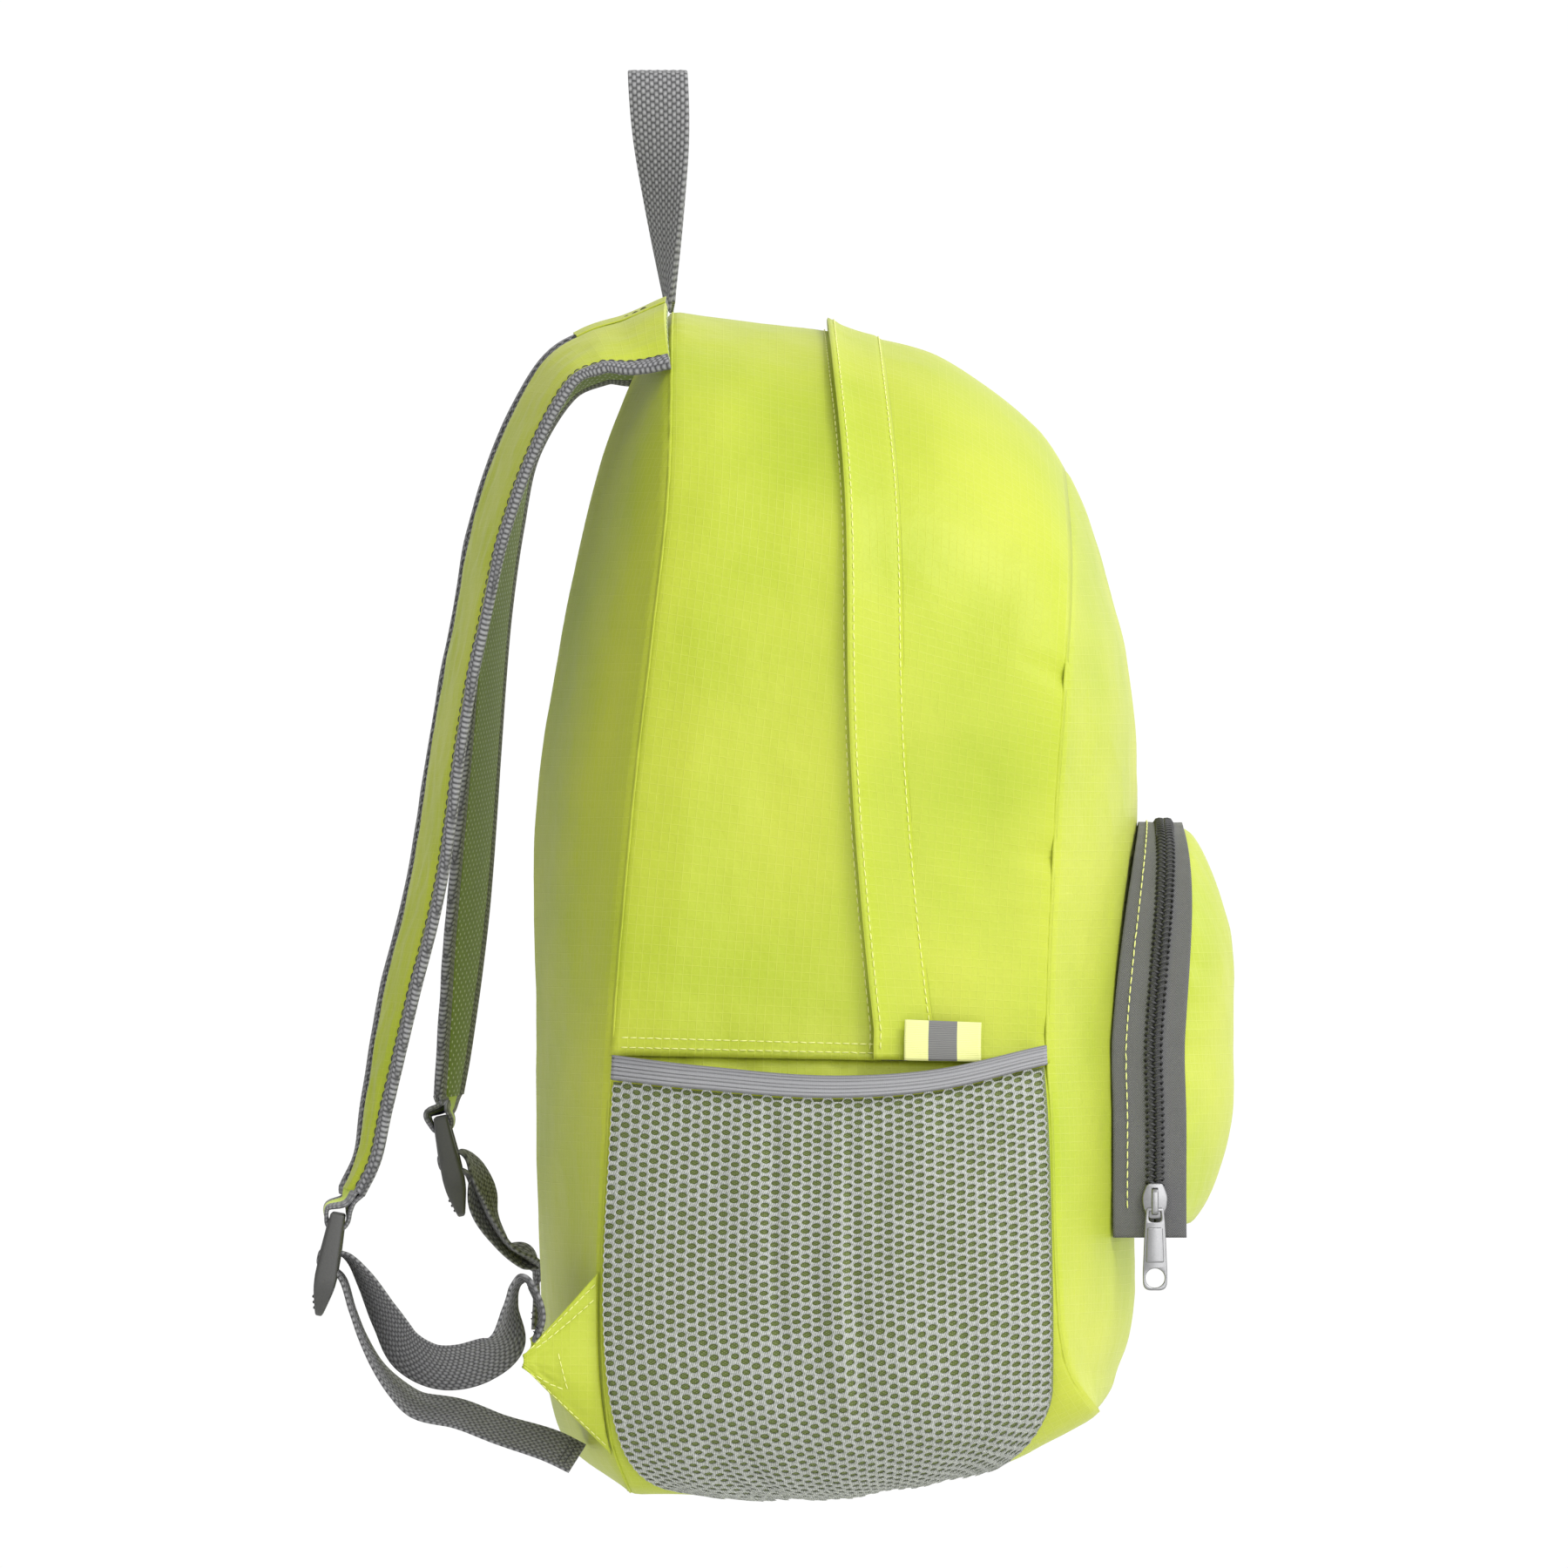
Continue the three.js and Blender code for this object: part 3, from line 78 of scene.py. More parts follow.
class Finish:
    def __init__(self, name):
        self.material = bpy.data.materials.new(name)
        self.material.use_nodes = True
        self.tree = self.material.node_tree
        self.tree.nodes.clear()

    # Makes a node: its settings first, then the value or wire of each input
    def node(self, kind, settings=None, inputs=None):
        made = self.tree.nodes.new("ShaderNode" + kind)
        for key, value in (settings or {}).items():
            if key == "stops":
                ramp = made.color_ramp.elements
                while len(ramp) < len(value):
                    ramp.new(0.5)
                for element, (at, colour) in zip(ramp, value):
                    element.position, element.color = at, (*colour, 1)
            else:
                setattr(made, key, value)
        for key, value in (inputs or {}).items():
            if isinstance(value, Wire):
                self.tree.links.new(value.socket, made.inputs[key])
            else:
                made.inputs[key].default_value = value
        return {s.name: Wire(self, s) for s in reversed(made.outputs) if s.enabled}

    # Millimetres along and across the cut cloth
    def cut(self):
        parts = self.node("SeparateXYZ", None, {0: self.node("UVMap", {"uv_map": "cut"})["UV"]})
        return parts["X"], parts["Y"]

    def noise(self, size, detail=2, rough=0.5):
        spot = self.node("TexCoord")["Object"]
        return self.node("TexNoise", None, {"Vector": spot, "Scale": 1 / (size * toMetres),
                                            "Detail": detail, "Roughness": rough})["Fac"]

    def mix(self, share, low, high):
        ends = [c if isinstance(c, Wire) else (*c, 1) for c in (low, high)]
        made = self.node("Mix", {"data_type": "RGBA"}, {0: share, 6: ends[0], 7: ends[1]})
        return made["Result"]

    # A wave from 0 to 1 every so many millimetres
    def wave(self, at, every, shift=0):
        return (at * (2 * math.pi / every) + shift).math("SINE") * 0.5 + 0.5

    # The output shader; bump is a height in shares of depth in millimetres
    def done(self, colour, rough, bump=None, depth=0.1, **others):
        inputs = {"Base Color": colour if isinstance(colour, Wire) else (*colour, 1), "Roughness": rough}
        inputs.update({key.replace("_", " "): value for key, value in others.items()})
        if bump is not None:
            inputs["Normal"] = self.node("Bump", None, {"Height": bump, "Distance": depth * toMetres})["Normal"]
        shader = self.node("BsdfPrincipled", None, inputs)["BSDF"]
        self.node("OutputMaterial", None, {"Surface": shader})
        return self.material


# line is a paler colour for the ripstop grid: a painted highlight on its threads
nylonLook = {"deep": (0.385, 0.485, 0.022), "pale": (0.55, 0.60, 0.06), "line": (0.64, 0.67, 0.14),
             "grid": 3.1, "rough": 0.46}


def makeNylon(name, deep, pale):
    f = Finish(name)
    along, across = f.cut()
    cloud = f.noise(70, 2)
    crumple = f.noise(9, 3, 0.55)
    fine = f.noise(0.9, 2)
    lines = None
    for way in (along, across):
        ridge = (way * (2 * math.pi / nylonLook["grid"])).math("COSINE").math("MAXIMUM", 0) ** 26
        lines = ridge if lines is None else lines.math("MAXIMUM", ridge)
    share = (cloud - 0.5) * 1.5 + 0.5 + (fine - 0.5) * 0.25
    colour = f.mix(share.math("MINIMUM", 1).math("MAXIMUM", 0), deep, pale)
    # The ripstop grid lines are lightened towards line, a painted highlight; in the bump they are real ridges
    colour = f.mix(lines * 0.22, colour, nylonLook["line"])
    height = crumple * 1.0 + lines * 0.10 + fine * 0.06
    return f.done(colour, nylonLook["rough"], height, 0.5, Sheen_Weight=0.10, Sheen_Roughness=0.4,
                  Sheen_Tint=(1, 1, 0.6, 1), Specular_IOR_Level=0.35)


def makeWeave(name, dark, light, pitch, rough=0.85, depth=0.25, tilt=0.0, shine=0.2):
    f = Finish(name)
    along, across = f.cut()
    u = along + across * tilt
    column = (across / pitch[1]).math("FLOOR")
    stagger = (column * 0.5).math("FRACT") * (2 * math.pi)
    knob = (u * (2 * math.pi / pitch[0]) + stagger).math("SINE") * 0.5 + 0.5
    cord = (across * (math.pi / pitch[1])).math("SINE").math("ABSOLUTE")
    height = knob.math("POWER", 0.7) * cord.math("POWER", 0.6)
    fleck = f.noise(0.8, 2)
    # The colour follows the weave's height: painted shade in the hollows and a painted highlight on the knob tops,
    # with random flecks
    colour = f.mix((height * 0.9 + (fleck - 0.5) * 0.5).math("MAXIMUM", 0), dark, light)
    return f.done(colour, rough, height, depth, Sheen_Weight=shine, Sheen_Roughness=0.5)


def makeHerringbone(name, dark, light):
    f = Finish(name)
    along, across = f.cut()
    zigzag = ((across / 4.4).math("FRACT") - 0.5).math("ABSOLUTE") * 4.4
    twill = f.wave(along + zigzag * 1.4, 0.95)
    fleck = f.noise(0.6, 2)
    # The colour follows the twill's height: painted shade in its hollows, with random flecks
    colour = f.mix((twill * 0.7 + (fleck - 0.5) * 0.5).math("MAXIMUM", 0), dark, light)
    return f.done(colour, 0.72, twill, 0.12, Sheen_Weight=0.15)


def makeElastic(name, dark, light):
    f = Finish(name)
    along, across = f.cut()
    rib = f.wave(across, 1.45)
    fine = f.wave(along, 0.55)
    # The colour follows the ribs' height: painted shade between the ribs
    colour = f.mix(rib.math("POWER", 0.8) * 0.85 + fine * 0.12, dark, light)
    return f.done(colour, 0.6, rib + fine * 0.15, 0.35, Sheen_Weight=0.2)


def makeNet(name, dark, light):
    f = Finish(name)
    along, across = f.cut()
    strand = f.wave(along + across * 0.35, 0.75)
    fleck = f.noise(0.9, 3, 0.7)
    # The colour follows the strands' height and flecks: painted shade on the low parts of the threads, with uneven
    # tone
    colour = f.mix((strand * 0.45 + (fleck - 0.35) * 1.3).math("MINIMUM", 1).math("MAXIMUM", 0), dark, light)
    return f.done(colour, 0.6, strand * 0.6 + fleck, 0.22, Sheen_Weight=0.35, Sheen_Roughness=0.35)


def makeDotted(name, base, dot):
    f = Finish(name)
    along, across = f.cut()
    row = (across / 2.1).math("FLOOR")
    u = ((along / 3.4 + (row * 0.5).math("FRACT")).math("FRACT") - 0.5) * 3.4
    v = ((across / 2.1).math("FRACT") - 0.5) * 2.1
    reach = (u * u + v * v).math("SQRT")
    spot = (1.0 - reach / 0.62).math("MAXIMUM", 0).math("POWER", 0.5).math("MINIMUM", 1)
    fine = f.noise(0.8, 2)
    colour = f.mix(spot, f.mix(fine, base, tuple(c * 1.5 for c in base)), dot)
    return f.done(colour, 0.75, 1.0 - spot * 0.8, 0.4, Sheen_Weight=0.15)


def makeSmooth(name, colour, rough, grain=0.0, size=1.2, **others):
    f = Finish(name)
    speck = f.noise(size, 3)
    shade = f.mix(speck, tuple(c * 0.85 for c in colour), tuple(min(c * 1.15, 1) for c in colour))
    return f.done(shade, speck * 0.12 + (rough - 0.06), speck, grain, **others)


def makeRibbon(name, pale, dark, band):
    f = Finish(name)
    along, across = f.cut()
    inside = (across.math("ABSOLUTE") - band / 2) * -4.0 + 0.5
    rib = f.wave(along, 0.7)
    colour = f.mix(inside.math("MINIMUM", 1).math("MAXIMUM", 0), pale, dark)
    # The rib crests are lightened: a painted highlight
    colour = f.mix(rib * 0.12, colour, (0.9, 0.9, 0.7))
    return f.done(colour, 0.55, rib, 0.08, Sheen_Weight=0.2)


# The strap's folded end: lime between its grey bound edges
def makeFoldedEnd(name, middle, dark, light, half):
    f = Finish(name)
    along, across = f.cut()
    inside = ((across.math("ABSOLUTE") - half) * -3.0 + 0.5).math("MINIMUM", 1).math("MAXIMUM", 0)
    knob = f.wave(along, 1.3) * f.wave(across, 1.1)
    # The grey follows the knobs' height: painted shade between the knobs
    grey = f.mix(knob, dark, light)
    return f.done(f.mix(inside, grey, middle), 0.75, knob * (1.0 - inside), 0.2, Sheen_Weight=0.2)


nylon = makeNylon("lime_nylon", nylonLook["deep"], nylonLook["pale"])
loopWeave = makeWeave("loop_webbing", (0.06, 0.06, 0.062), (0.40, 0.40, 0.405), (2.6, 1.6))
strapWeave = makeWeave("adjuster_webbing", (0.05, 0.05, 0.052), (0.30, 0.30, 0.305), (2.3, 1.5))
bindWeave = makeWeave("strap_binding", (0.05, 0.05, 0.052), (0.36, 0.36, 0.37), (2.0, 1.3), tilt=0.5)
tape = makeHerringbone("zip_tape", (0.075, 0.075, 0.078), (0.20, 0.20, 0.205))
elasticLook = makeElastic("ribbed_elastic", (0.13, 0.13, 0.138), (0.34, 0.34, 0.352))
netLook = makeNet("air_net", (0.20, 0.215, 0.18), (0.70, 0.72, 0.68))
# Dark olive sheet behind the net pockets: painted shadow of the net
netShadowSheet = makeWeave("air_net_painted_shadow", (0.09, 0.12, 0.03), (0.24, 0.29, 0.09), (0.9, 0.7), depth=0.1)
dotted = makeDotted("strap_lining", (0.16, 0.22, 0.035), (0.78, 0.82, 0.62))
coilLook = makeSmooth("zip_coil", (0.035, 0.035, 0.037), 0.38, 0.02)
plastic = makeSmooth("buckle_plastic", (0.065, 0.065, 0.062), 0.45, 0.03, 0.7)
nickel = makeSmooth("satin_nickel", (0.26, 0.26, 0.265), 0.30, 0.01, 0.5, Metallic=1.0)
ribbonLook = makeRibbon("ribbon", (0.84, 0.86, 0.30), (0.13, 0.13, 0.135), 10.5)
foldedEnd = makeFoldedEnd("strap_end", (0.62, 0.76, 0.05), (0.11, 0.11, 0.115), (0.42, 0.42, 0.43), 5.0)
thread = makeSmooth("lime_thread", (0.86, 0.90, 0.30), 0.6, 0.02, 0.8, Sheen_Weight=0.2)
greyThread = makeSmooth("grey_thread", (0.055, 0.055, 0.06), 0.7, 0.02, 0.8)
print("materials made")


# Mesh making
def addPiece(name, points, faces, material, cut=None, nodes=(), slot="nylon", body="pack"):
    mesh = bpy.data.meshes.new(name)
    mesh.from_pydata((np.asarray(points, float) * toMetres).tolist(), [], faces)
    if cut is not None:
        corners = np.empty(len(mesh.loops), np.int32)
        mesh.loops.foreach_get("vertex_index", corners)
        layer = mesh.uv_layers.new(name="cut")
        layer.data.foreach_set("uv", np.asarray(cut, np.float32)[corners].ravel())
    mesh.polygons.foreach_set("use_smooth", [True] * len(mesh.polygons))
    mesh.materials.append(material)
    mesh.validate()
    piece = bpy.data.objects.new(name, mesh)
    bpy.context.scene.collection.objects.link(piece)
    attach(piece, body)
    if nodes:
        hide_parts(*nodes)
    return piece


def unit(v):
    return v / np.maximum(np.linalg.norm(v, axis=-1, keepdims=True), 1e-9)


# Normals of a grid of points, which face out when the first way turned to the second does
def gridNormals(points, closed=False):
    if closed:
        ways = (np.roll(points, -1, 0) - np.roll(points, 1, 0), np.gradient(points, axis=1))
    else:
        ways = (np.gradient(points, axis=0), np.gradient(points, axis=1))
    return unit(np.cross(ways[0], ways[1]))


def gridFaces(rows, columns, closed, flip=False, start=0):
    i, j = np.meshgrid(np.arange(rows if closed else rows - 1), np.arange(columns - 1), indexing="ij")
    after = (i + 1) % rows
    quads = np.stack([i * columns + j, after * columns + j, after * columns + j + 1, i * columns + j + 1], -1)
    quads = quads.reshape(-1, 4) + start
    return (quads[:, ::-1] if flip else quads).tolist()


# A cloth wall behind a grid of outer points, closed round its borders
def clothGrid(name, points, cut, wall, material, closed=False, **facts):
    rows, columns = points.shape[:2]
    inner = points - gridNormals(points, closed) * wall
    count = rows * columns
    faces = gridFaces(rows, columns, closed) + gridFaces(rows, columns, closed, True, count)
    index = np.arange(count).reshape(rows, columns)
    edges = [index[:, 0], index[::-1, -1]]
    if closed:
        edges = [np.append(e, e[0]) for e in edges]
    else:
        edges += [index[0, ::-1], index[-1, :]]
    for e in edges:
        faces += [[int(b), int(a), int(a) + count, int(b) + count] for a, b in zip(e[:-1], e[1:])]
    both = np.concatenate([points.reshape(-1, 3), inner.reshape(-1, 3)])
    cuts = np.concatenate([cut.reshape(-1, 2)] * 2)
    return addPiece(name, both, faces, material, cuts, **facts)


# A smooth random field, about -1 to 1, over points in millimetres
class Field:
    def __init__(self, seed):
        draw = np.random.default_rng(seed)
        self.order = np.tile(draw.permutation(256), 2)
        self.ways = unit(draw.normal(size=(256, 3)))

    def at(self, points, size):
        p = points / size
        base = np.floor(p).astype(int)
        f = p - base
        ease = f * f * f * (f * (f * 6 - 15) + 10)
        total = 0
        for corner in itertools.product((0, 1), repeat=3):
            c = (base + corner) & 255
            pick = self.order[self.order[self.order[c[..., 0]] + c[..., 1]] + c[..., 2]]
            reach = ((f - corner) * self.ways[pick]).sum(-1)
            total = total + reach * np.where(corner, ease, 1 - ease).prod(-1)
        return total * 1.7


field = Field(7)


def along1d(values, seed):
    return np.stack([values, np.full_like(values, seed * 13.7), np.full_like(values, seed * 5.1)], -1)


# A smooth value of a table's column; the rows are in the order of their first column
def curve(rows, column, at):
    keys, values = rows[:, 0], rows[:, column]
    at = np.asarray(at, float)
    i = np.searchsorted(keys[1:-1], at)
    slope = np.concatenate([[(values[1] - values[0]) / (keys[1] - keys[0])],
                            (values[2:] - values[:-2]) / (keys[2:] - keys[:-2]),
                            [(values[-1] - values[-2]) / (keys[-1] - keys[-2])]])
    span = keys[i + 1] - keys[i]
    u = np.clip((at - keys[i]) / span, 0, 1)
    rise = (3 - 2 * u) * u * u
    ends = values[i] * (1 - rise) + values[i + 1] * rise
    return ends + u * (1 - u) ** 2 * span * slope[i] - u * u * (1 - u) * span * slope[i + 1]


def table(text):
    return np.array([[float(v) for v in line.split()] for line in text.strip().splitlines()])


# The cloth body, which the photograph shows from its side
bag = {"loopDrop": 87, "loopLean": 4.5, "height": 432, "width": 262, "frontHeight": 346, "shoulderDrop": 57,
       "depth": 160, "backBulge": 34.5, "frontBulge": 31, "topBulge": 22, "sideBulge": 9,
       "bottomBulge": 13.5, "hem": 160, "foldDepth": 2.2, "foldFade": 6, "panelPower": 2.3, "wall": 0.7}
outline = {"archShare": 0.32, "archPower": 2.2, "cornerShare": 0.12, "cornerInset": 0.3,
           "archEnd": 0.36, "sideEnd": 0.74, "cornerEnd": 0.87}
halfPack = bag["width"] / 2
backSeam = {"top": -bag["loopDrop"], "height": bag["height"], "rows": table("""
    0 -0.094
    0.05 -0.138
    0.15 -0.158
    0.31 -0.142
    0.43 -0.122
    0.6 -0.08
    0.72 -0.042
    0.85 -0.005
    1 0""")}
frontSeam = {"top": -bag["loopDrop"] - bag["shoulderDrop"], "height": bag["frontHeight"], "rows": table("""
    0 0.98
    0.05 0.91
    0.13 0.885
    0.31 0.872
    0.4 0.862
    0.64 0.884
    0.78 0.905
    0.9 0.917
    1 0.906""")}
backRows = table("""
    0 0
    0.03 0.42
    0.08 0.57
    0.18 0.64
    0.3 0.75
    0.42 0.88
    0.57 0.99
    0.68 1
    0.79 0.88
    0.875 0.72
    0.94 0.4
    1 0""")
frontRows = table("""
    0 0
    0.03 0.45
    0.08 0.84
    0.17 0.97
    0.48 1
    0.7 0.93
    0.8 0.74
    0.86 0.52
    0.92 0.33
    0.96 0.19
    1 0""")
topRows = table("""
    0 0
    0.2 0.34
    0.39 0.67
    0.65 1
    0.79 0.85
    0.93 0.45
    1 0""")
bottomRows = table("""
    0 0
    0.14 0.26
    0.27 0.65
    0.45 1
    0.78 0.95
    0.9 0.52
    1 0""")
sideRows = table("""
    0 0
    0.15 0.6
    0.5 1
    0.85 0.6
    1 0""")
bandFolds = table("""
    0.82 0.84 0.15 0.04 0.4 1
    0.2 0.9 0.1 0.04 1.2 0.7
    0.3 0.55 0.15 0.05 0.15 0.8
    0.86 0.55 0.12 0.04 -0.1 0.8""")
flapRows = table("""
    0.4 0.6
    0.7 0.485
    0.9 0.43
    1 0.4""")


def outlineAt(t):
    t = np.asarray(t, float)
    wrapped = np.where(t > 1, t - 2, t)
    side = np.where(wrapped < 0, 1.0, -1.0)
    half = np.abs(wrapped)
    o = outline
    power = 2 / o["archPower"]
    turn = np.clip(half / o["archEnd"], 0, 1) * quarter
    arch = np.sin(turn) ** power, 1 - o["archShare"] + o["archShare"] * np.cos(turn) ** power
    run = np.clip((half - o["archEnd"]) / (o["sideEnd"] - o["archEnd"]), 0, 1)
    straight = np.ones_like(half), 1 - o["archShare"] + (o["cornerShare"] - 1 + o["archShare"]) * run
    turn = np.clip((half - o["sideEnd"]) / (o["cornerEnd"] - o["sideEnd"]), 0, 1) * quarter
    corner = 1 - o["cornerInset"] + o["cornerInset"] * np.cos(turn), o["cornerShare"] * (1 - np.sin(turn))
    run = np.clip((half - o["cornerEnd"]) / (1 - o["cornerEnd"]), 0, 1)
    foot = (1 - o["cornerInset"]) * (1 - run), np.zeros_like(half)
    where = [half < o["archEnd"], half < o["sideEnd"], half < o["cornerEnd"]]
    across, height = (np.select(where, [arch[k], straight[k], corner[k]], foot[k]) for k in (0, 1))
    return side * across, height


def outlineWidth(height):
    o = outline
    rise = np.clip((height - 1 + o["archShare"]) / o["archShare"], 0, 1)
    fall = np.clip(1 - height / o["cornerShare"], 0, 1)
    low = 1 - o["cornerInset"] + o["cornerInset"] * np.sqrt(np.maximum(1 - fall * fall, 0))
    high = np.maximum(1 - rise ** o["archPower"], 0) ** (1 / o["archPower"])
    return np.where(fall > 0, low, high)


def archHeight(across):
    o = outline
    return 1 - o["archShare"] + o["archShare"] * (1 - across ** o["archPower"]) ** (1 / o["archPower"])


def sideTurn(height):
    run = (1 - outline["archShare"] - height) / (1 - outline["archShare"] - outline["cornerShare"])
    return outline["archEnd"] + (outline["sideEnd"] - outline["archEnd"]) * run


def seamY(seam, height):
    return -bag["loopLean"] - bag["depth"] * curve(seam["rows"], 1, height)


def seamPoint(seam, t):
    across, height = outlineAt(t)
    return np.stack([across * halfPack, seamY(seam, height), seam["top"] - seam["height"] * (1 - height)], -1)


def outwardAt(t):
    step = 0.004
    t = np.asarray(t, float)
    ends = [seamPoint(backSeam, t + s) + seamPoint(frontSeam, t + s) for s in (-step, step)]
    way = ends[1] - ends[0]
    return unit(np.stack([way[..., 2], np.zeros_like(way[..., 0]), -way[..., 0]], -1))


def foldSink(across, height):
    sink = 0
    for at, up, longWay, wide, lean, share in bandFolds:
        forward, rise = (across - at) * bag["depth"], (height - up) * bag["height"]
        along = rise * math.cos(lean) + forward * math.sin(lean)
        aside = forward * math.cos(lean) - rise * math.sin(lean)
        reach = (along / (longWay * bag["height"])) ** 2 + (aside / (wide * bag["height"])) ** 2
        sink = sink + share * bag["foldDepth"] * np.exp(-reach)
    return sink


# The side band's surface from the back seam (0) to the front seam (1), and off from it
def bandPoint(t, across, off=0.0):
    t, across = np.broadcast_arrays(np.asarray(t, float), np.asarray(across, float))
    out = outwardAt(t)
    up, down = np.maximum(out[..., 2], 0) ** 2, np.maximum(-out[..., 2], 0) ** 2
    bulge = (up * bag["topBulge"] * curve(topRows, 1, across)
             + down * bag["bottomBulge"] * curve(bottomRows, 1, across)
             + out[..., 0] ** 2 * bag["sideBulge"] * curve(sideRows, 1, across))
    edge = np.minimum(1, np.minimum(across, 1 - across) * bag["foldFade"])
    sink = edge * out[..., 0] ** 2 * foldSink(across, outlineAt(t)[1])
    back, front = seamPoint(backSeam, t), seamPoint(frontSeam, t)
    return back + (front - back) * across[..., None] + out * (bulge - sink + off)[..., None]


def panelY(seam, rows, bulge, x, z):
    height = np.clip(1 - (seam["top"] - z) / seam["height"], 0, 1)
    edge = np.maximum(outlineWidth(height) * halfPack, gap)
    aside = np.minimum(np.abs(x) / edge, 1)
    return seamY(seam, height) + bulge * curve(rows, 1, height) * (1 - aside ** bag["panelPower"])


def backY(x, z):
    return panelY(backSeam, backRows, bag["backBulge"], x, z)


def frontY(x, z):
    return panelY(frontSeam, frontRows, -bag["frontBulge"], x, z)


# How sewn cloth stands off its smooth form: dipped at a seam, puckered beside it, softly uneven
cloth = {"dip": 1.1, "dipReach": 2.2, "pucker": 0.55, "puckerReach": 8, "puckerEvery": 6.5,
         "soft": 1.5, "softSize": 62, "crease": 0.45, "creaseSize": 21}


def clothRise(points, edge, along, seed, calm=1.0):
    dip = -cloth["dip"] * np.exp(-(edge / cloth["dipReach"]) ** 2)
    short = field.at(along1d(along, seed), cloth["puckerEvery"])
    strong = 0.6 + 0.7 * field.at(along1d(along, seed + 3), 45)
    pucker = cloth["pucker"] * short * strong * np.exp(-edge / cloth["puckerReach"])
    pucker = pucker * np.minimum(edge / 1.5, 1)
    away = np.minimum(edge / 22, 1)
    soft = cloth["soft"] * field.at(points, cloth["softSize"]) * away
    crease = -cloth["crease"] * np.abs(field.at(points + 31, cloth["creaseSize"])) * away
    return dip + pucker + calm * (soft + crease)


# Back and front panels, spun out from their middles
panel = {"stations": 400, "rings": 62, "seam": 0.25}


def ringShares(count):
    even = np.linspace(0, 1, count + 1)[1:]
    return 1 - (1 - even) ** 1.35


def ringMesh(name, edge, middle, surface, wall, faces, **facts):
    faces = -faces
    shares = ringShares(panel["rings"])
    spot = middle + (edge[None] - middle) * shares[:, None, None]
    points = surface(spot, shares)
    count = edge.shape[0]
    rings = len(shares)
    normals = gridNormals(points.transpose(1, 0, 2), True).transpose(1, 0, 2) * faces
    centre = points[0].mean(0)
    inner = points - normals * wall
    allPoints = np.concatenate([points.reshape(-1, 3), inner.reshape(-1, 3), [centre, centre - [0, wall * np.sign(normals[0, :, 1].mean()), 0]]])
    total = rings * count
    index = np.arange(total).reshape(rings, count)
    a, b = index[:-1], index[1:]
    an, bn = np.roll(a, -1, 1), np.roll(b, -1, 1)
    quads = np.stack([a, b, bn, an], -1).reshape(-1, 4)
    out = quads if faces < 0 else quads[:, ::-1]
    facesList = out.tolist() + (out[:, ::-1] + total).tolist()
    first, last = index[0], index[-1]
    for k in range(count):
        n = (k + 1) % count
        fan = [2 * total, int(first[k]), int(first[n])]
        back = [2 * total + 1, int(first[n]) + total, int(first[k]) + total]
        rim = [int(last[k]), int(last[k]) + total, int(last[n]) + total, int(last[n])]
        facesList += [fan, back, rim] if faces < 0 else [fan[::-1], back[::-1], rim[::-1]]
    cut = np.concatenate([allPoints[:, [2, 0]]])
    return addPiece(name, allPoints, facesList, nylon, cut, **facts)


def makePanel(name, seam, rows, bulge, faces, seed, node):
    t = np.linspace(0, 2, panel["stations"], endpoint=False)
    edge = seamPoint(seam, t) - outwardAt(t) * panel["seam"]
    middle = np.array([0, 0, seam["top"] - seam["height"] / 2])
    length = np.concatenate([[0], np.cumsum(np.linalg.norm(np.diff(edge, axis=0), axis=1))])

    def surface(spot, shares):
        y = panelY(seam, rows, bulge, spot[..., 0], spot[..., 2])
        points = np.stack([spot[..., 0], y, spot[..., 2]], -1)
        reach = np.linalg.norm((edge - middle)[..., [0, 2]], axis=-1)
        inset = (1 - shares)[:, None] * reach[None]
        rise = clothRise(points, inset, np.broadcast_to(length, inset.shape), seed)
        points[..., 1] += faces * rise * -1
        return points

    return ringMesh(name, edge, middle, surface, bag["wall"], faces, nodes=(node,))


makePanel("back_cloth", backSeam, backRows, bag["backBulge"], -1, 11, "back_panel")
makePanel("front_cloth", frontSeam, frontRows, -bag["frontBulge"], 1, 17, "front_panel")
print("panels made")

# The side band: the cloth on either side of the main zip, and the lower part below the hem
band = {"step": 2.3, "zip": 9, "flap": 22, "flapOff": 1.5, "flapLift": 3.4, "flapWall": 0.9, "hemFold": 4.2}
hemShare = bag["hem"] / bag["height"]
hemTurn = float(sideTurn(hemShare))
straightRise = bag["height"] * (1 - outline["archShare"] - outline["cornerShare"])
perMillimetre = (outline["sideEnd"] - outline["archEnd"]) / straightRise


# Stations along the outline about a step apart
def evenTurns(start, end, step):
    t = np.linspace(start, end, 4000)
    way = (seamPoint(backSeam, t) + seamPoint(frontSeam, t)) / 2
    length = np.concatenate([[0], np.cumsum(np.linalg.norm(np.diff(way, axis=0), axis=1))])
    count = max(int(length[-1] / step), 2)
    return np.interp(np.linspace(0, length[-1], count + 1), length, t), np.linspace(0, length[-1], count + 1)


def flapEdge(t):
    return curve(flapRows, 1, np.maximum(outlineAt(t)[1], flapRows[0, 0]))


def zipFrom(t):
    return flapEdge(t) + (band["flap"] / 3 - band["zip"] / 2) / bag["depth"]


def zipTo(t):
    return zipFrom(t) + band["zip"] / bag["depth"]


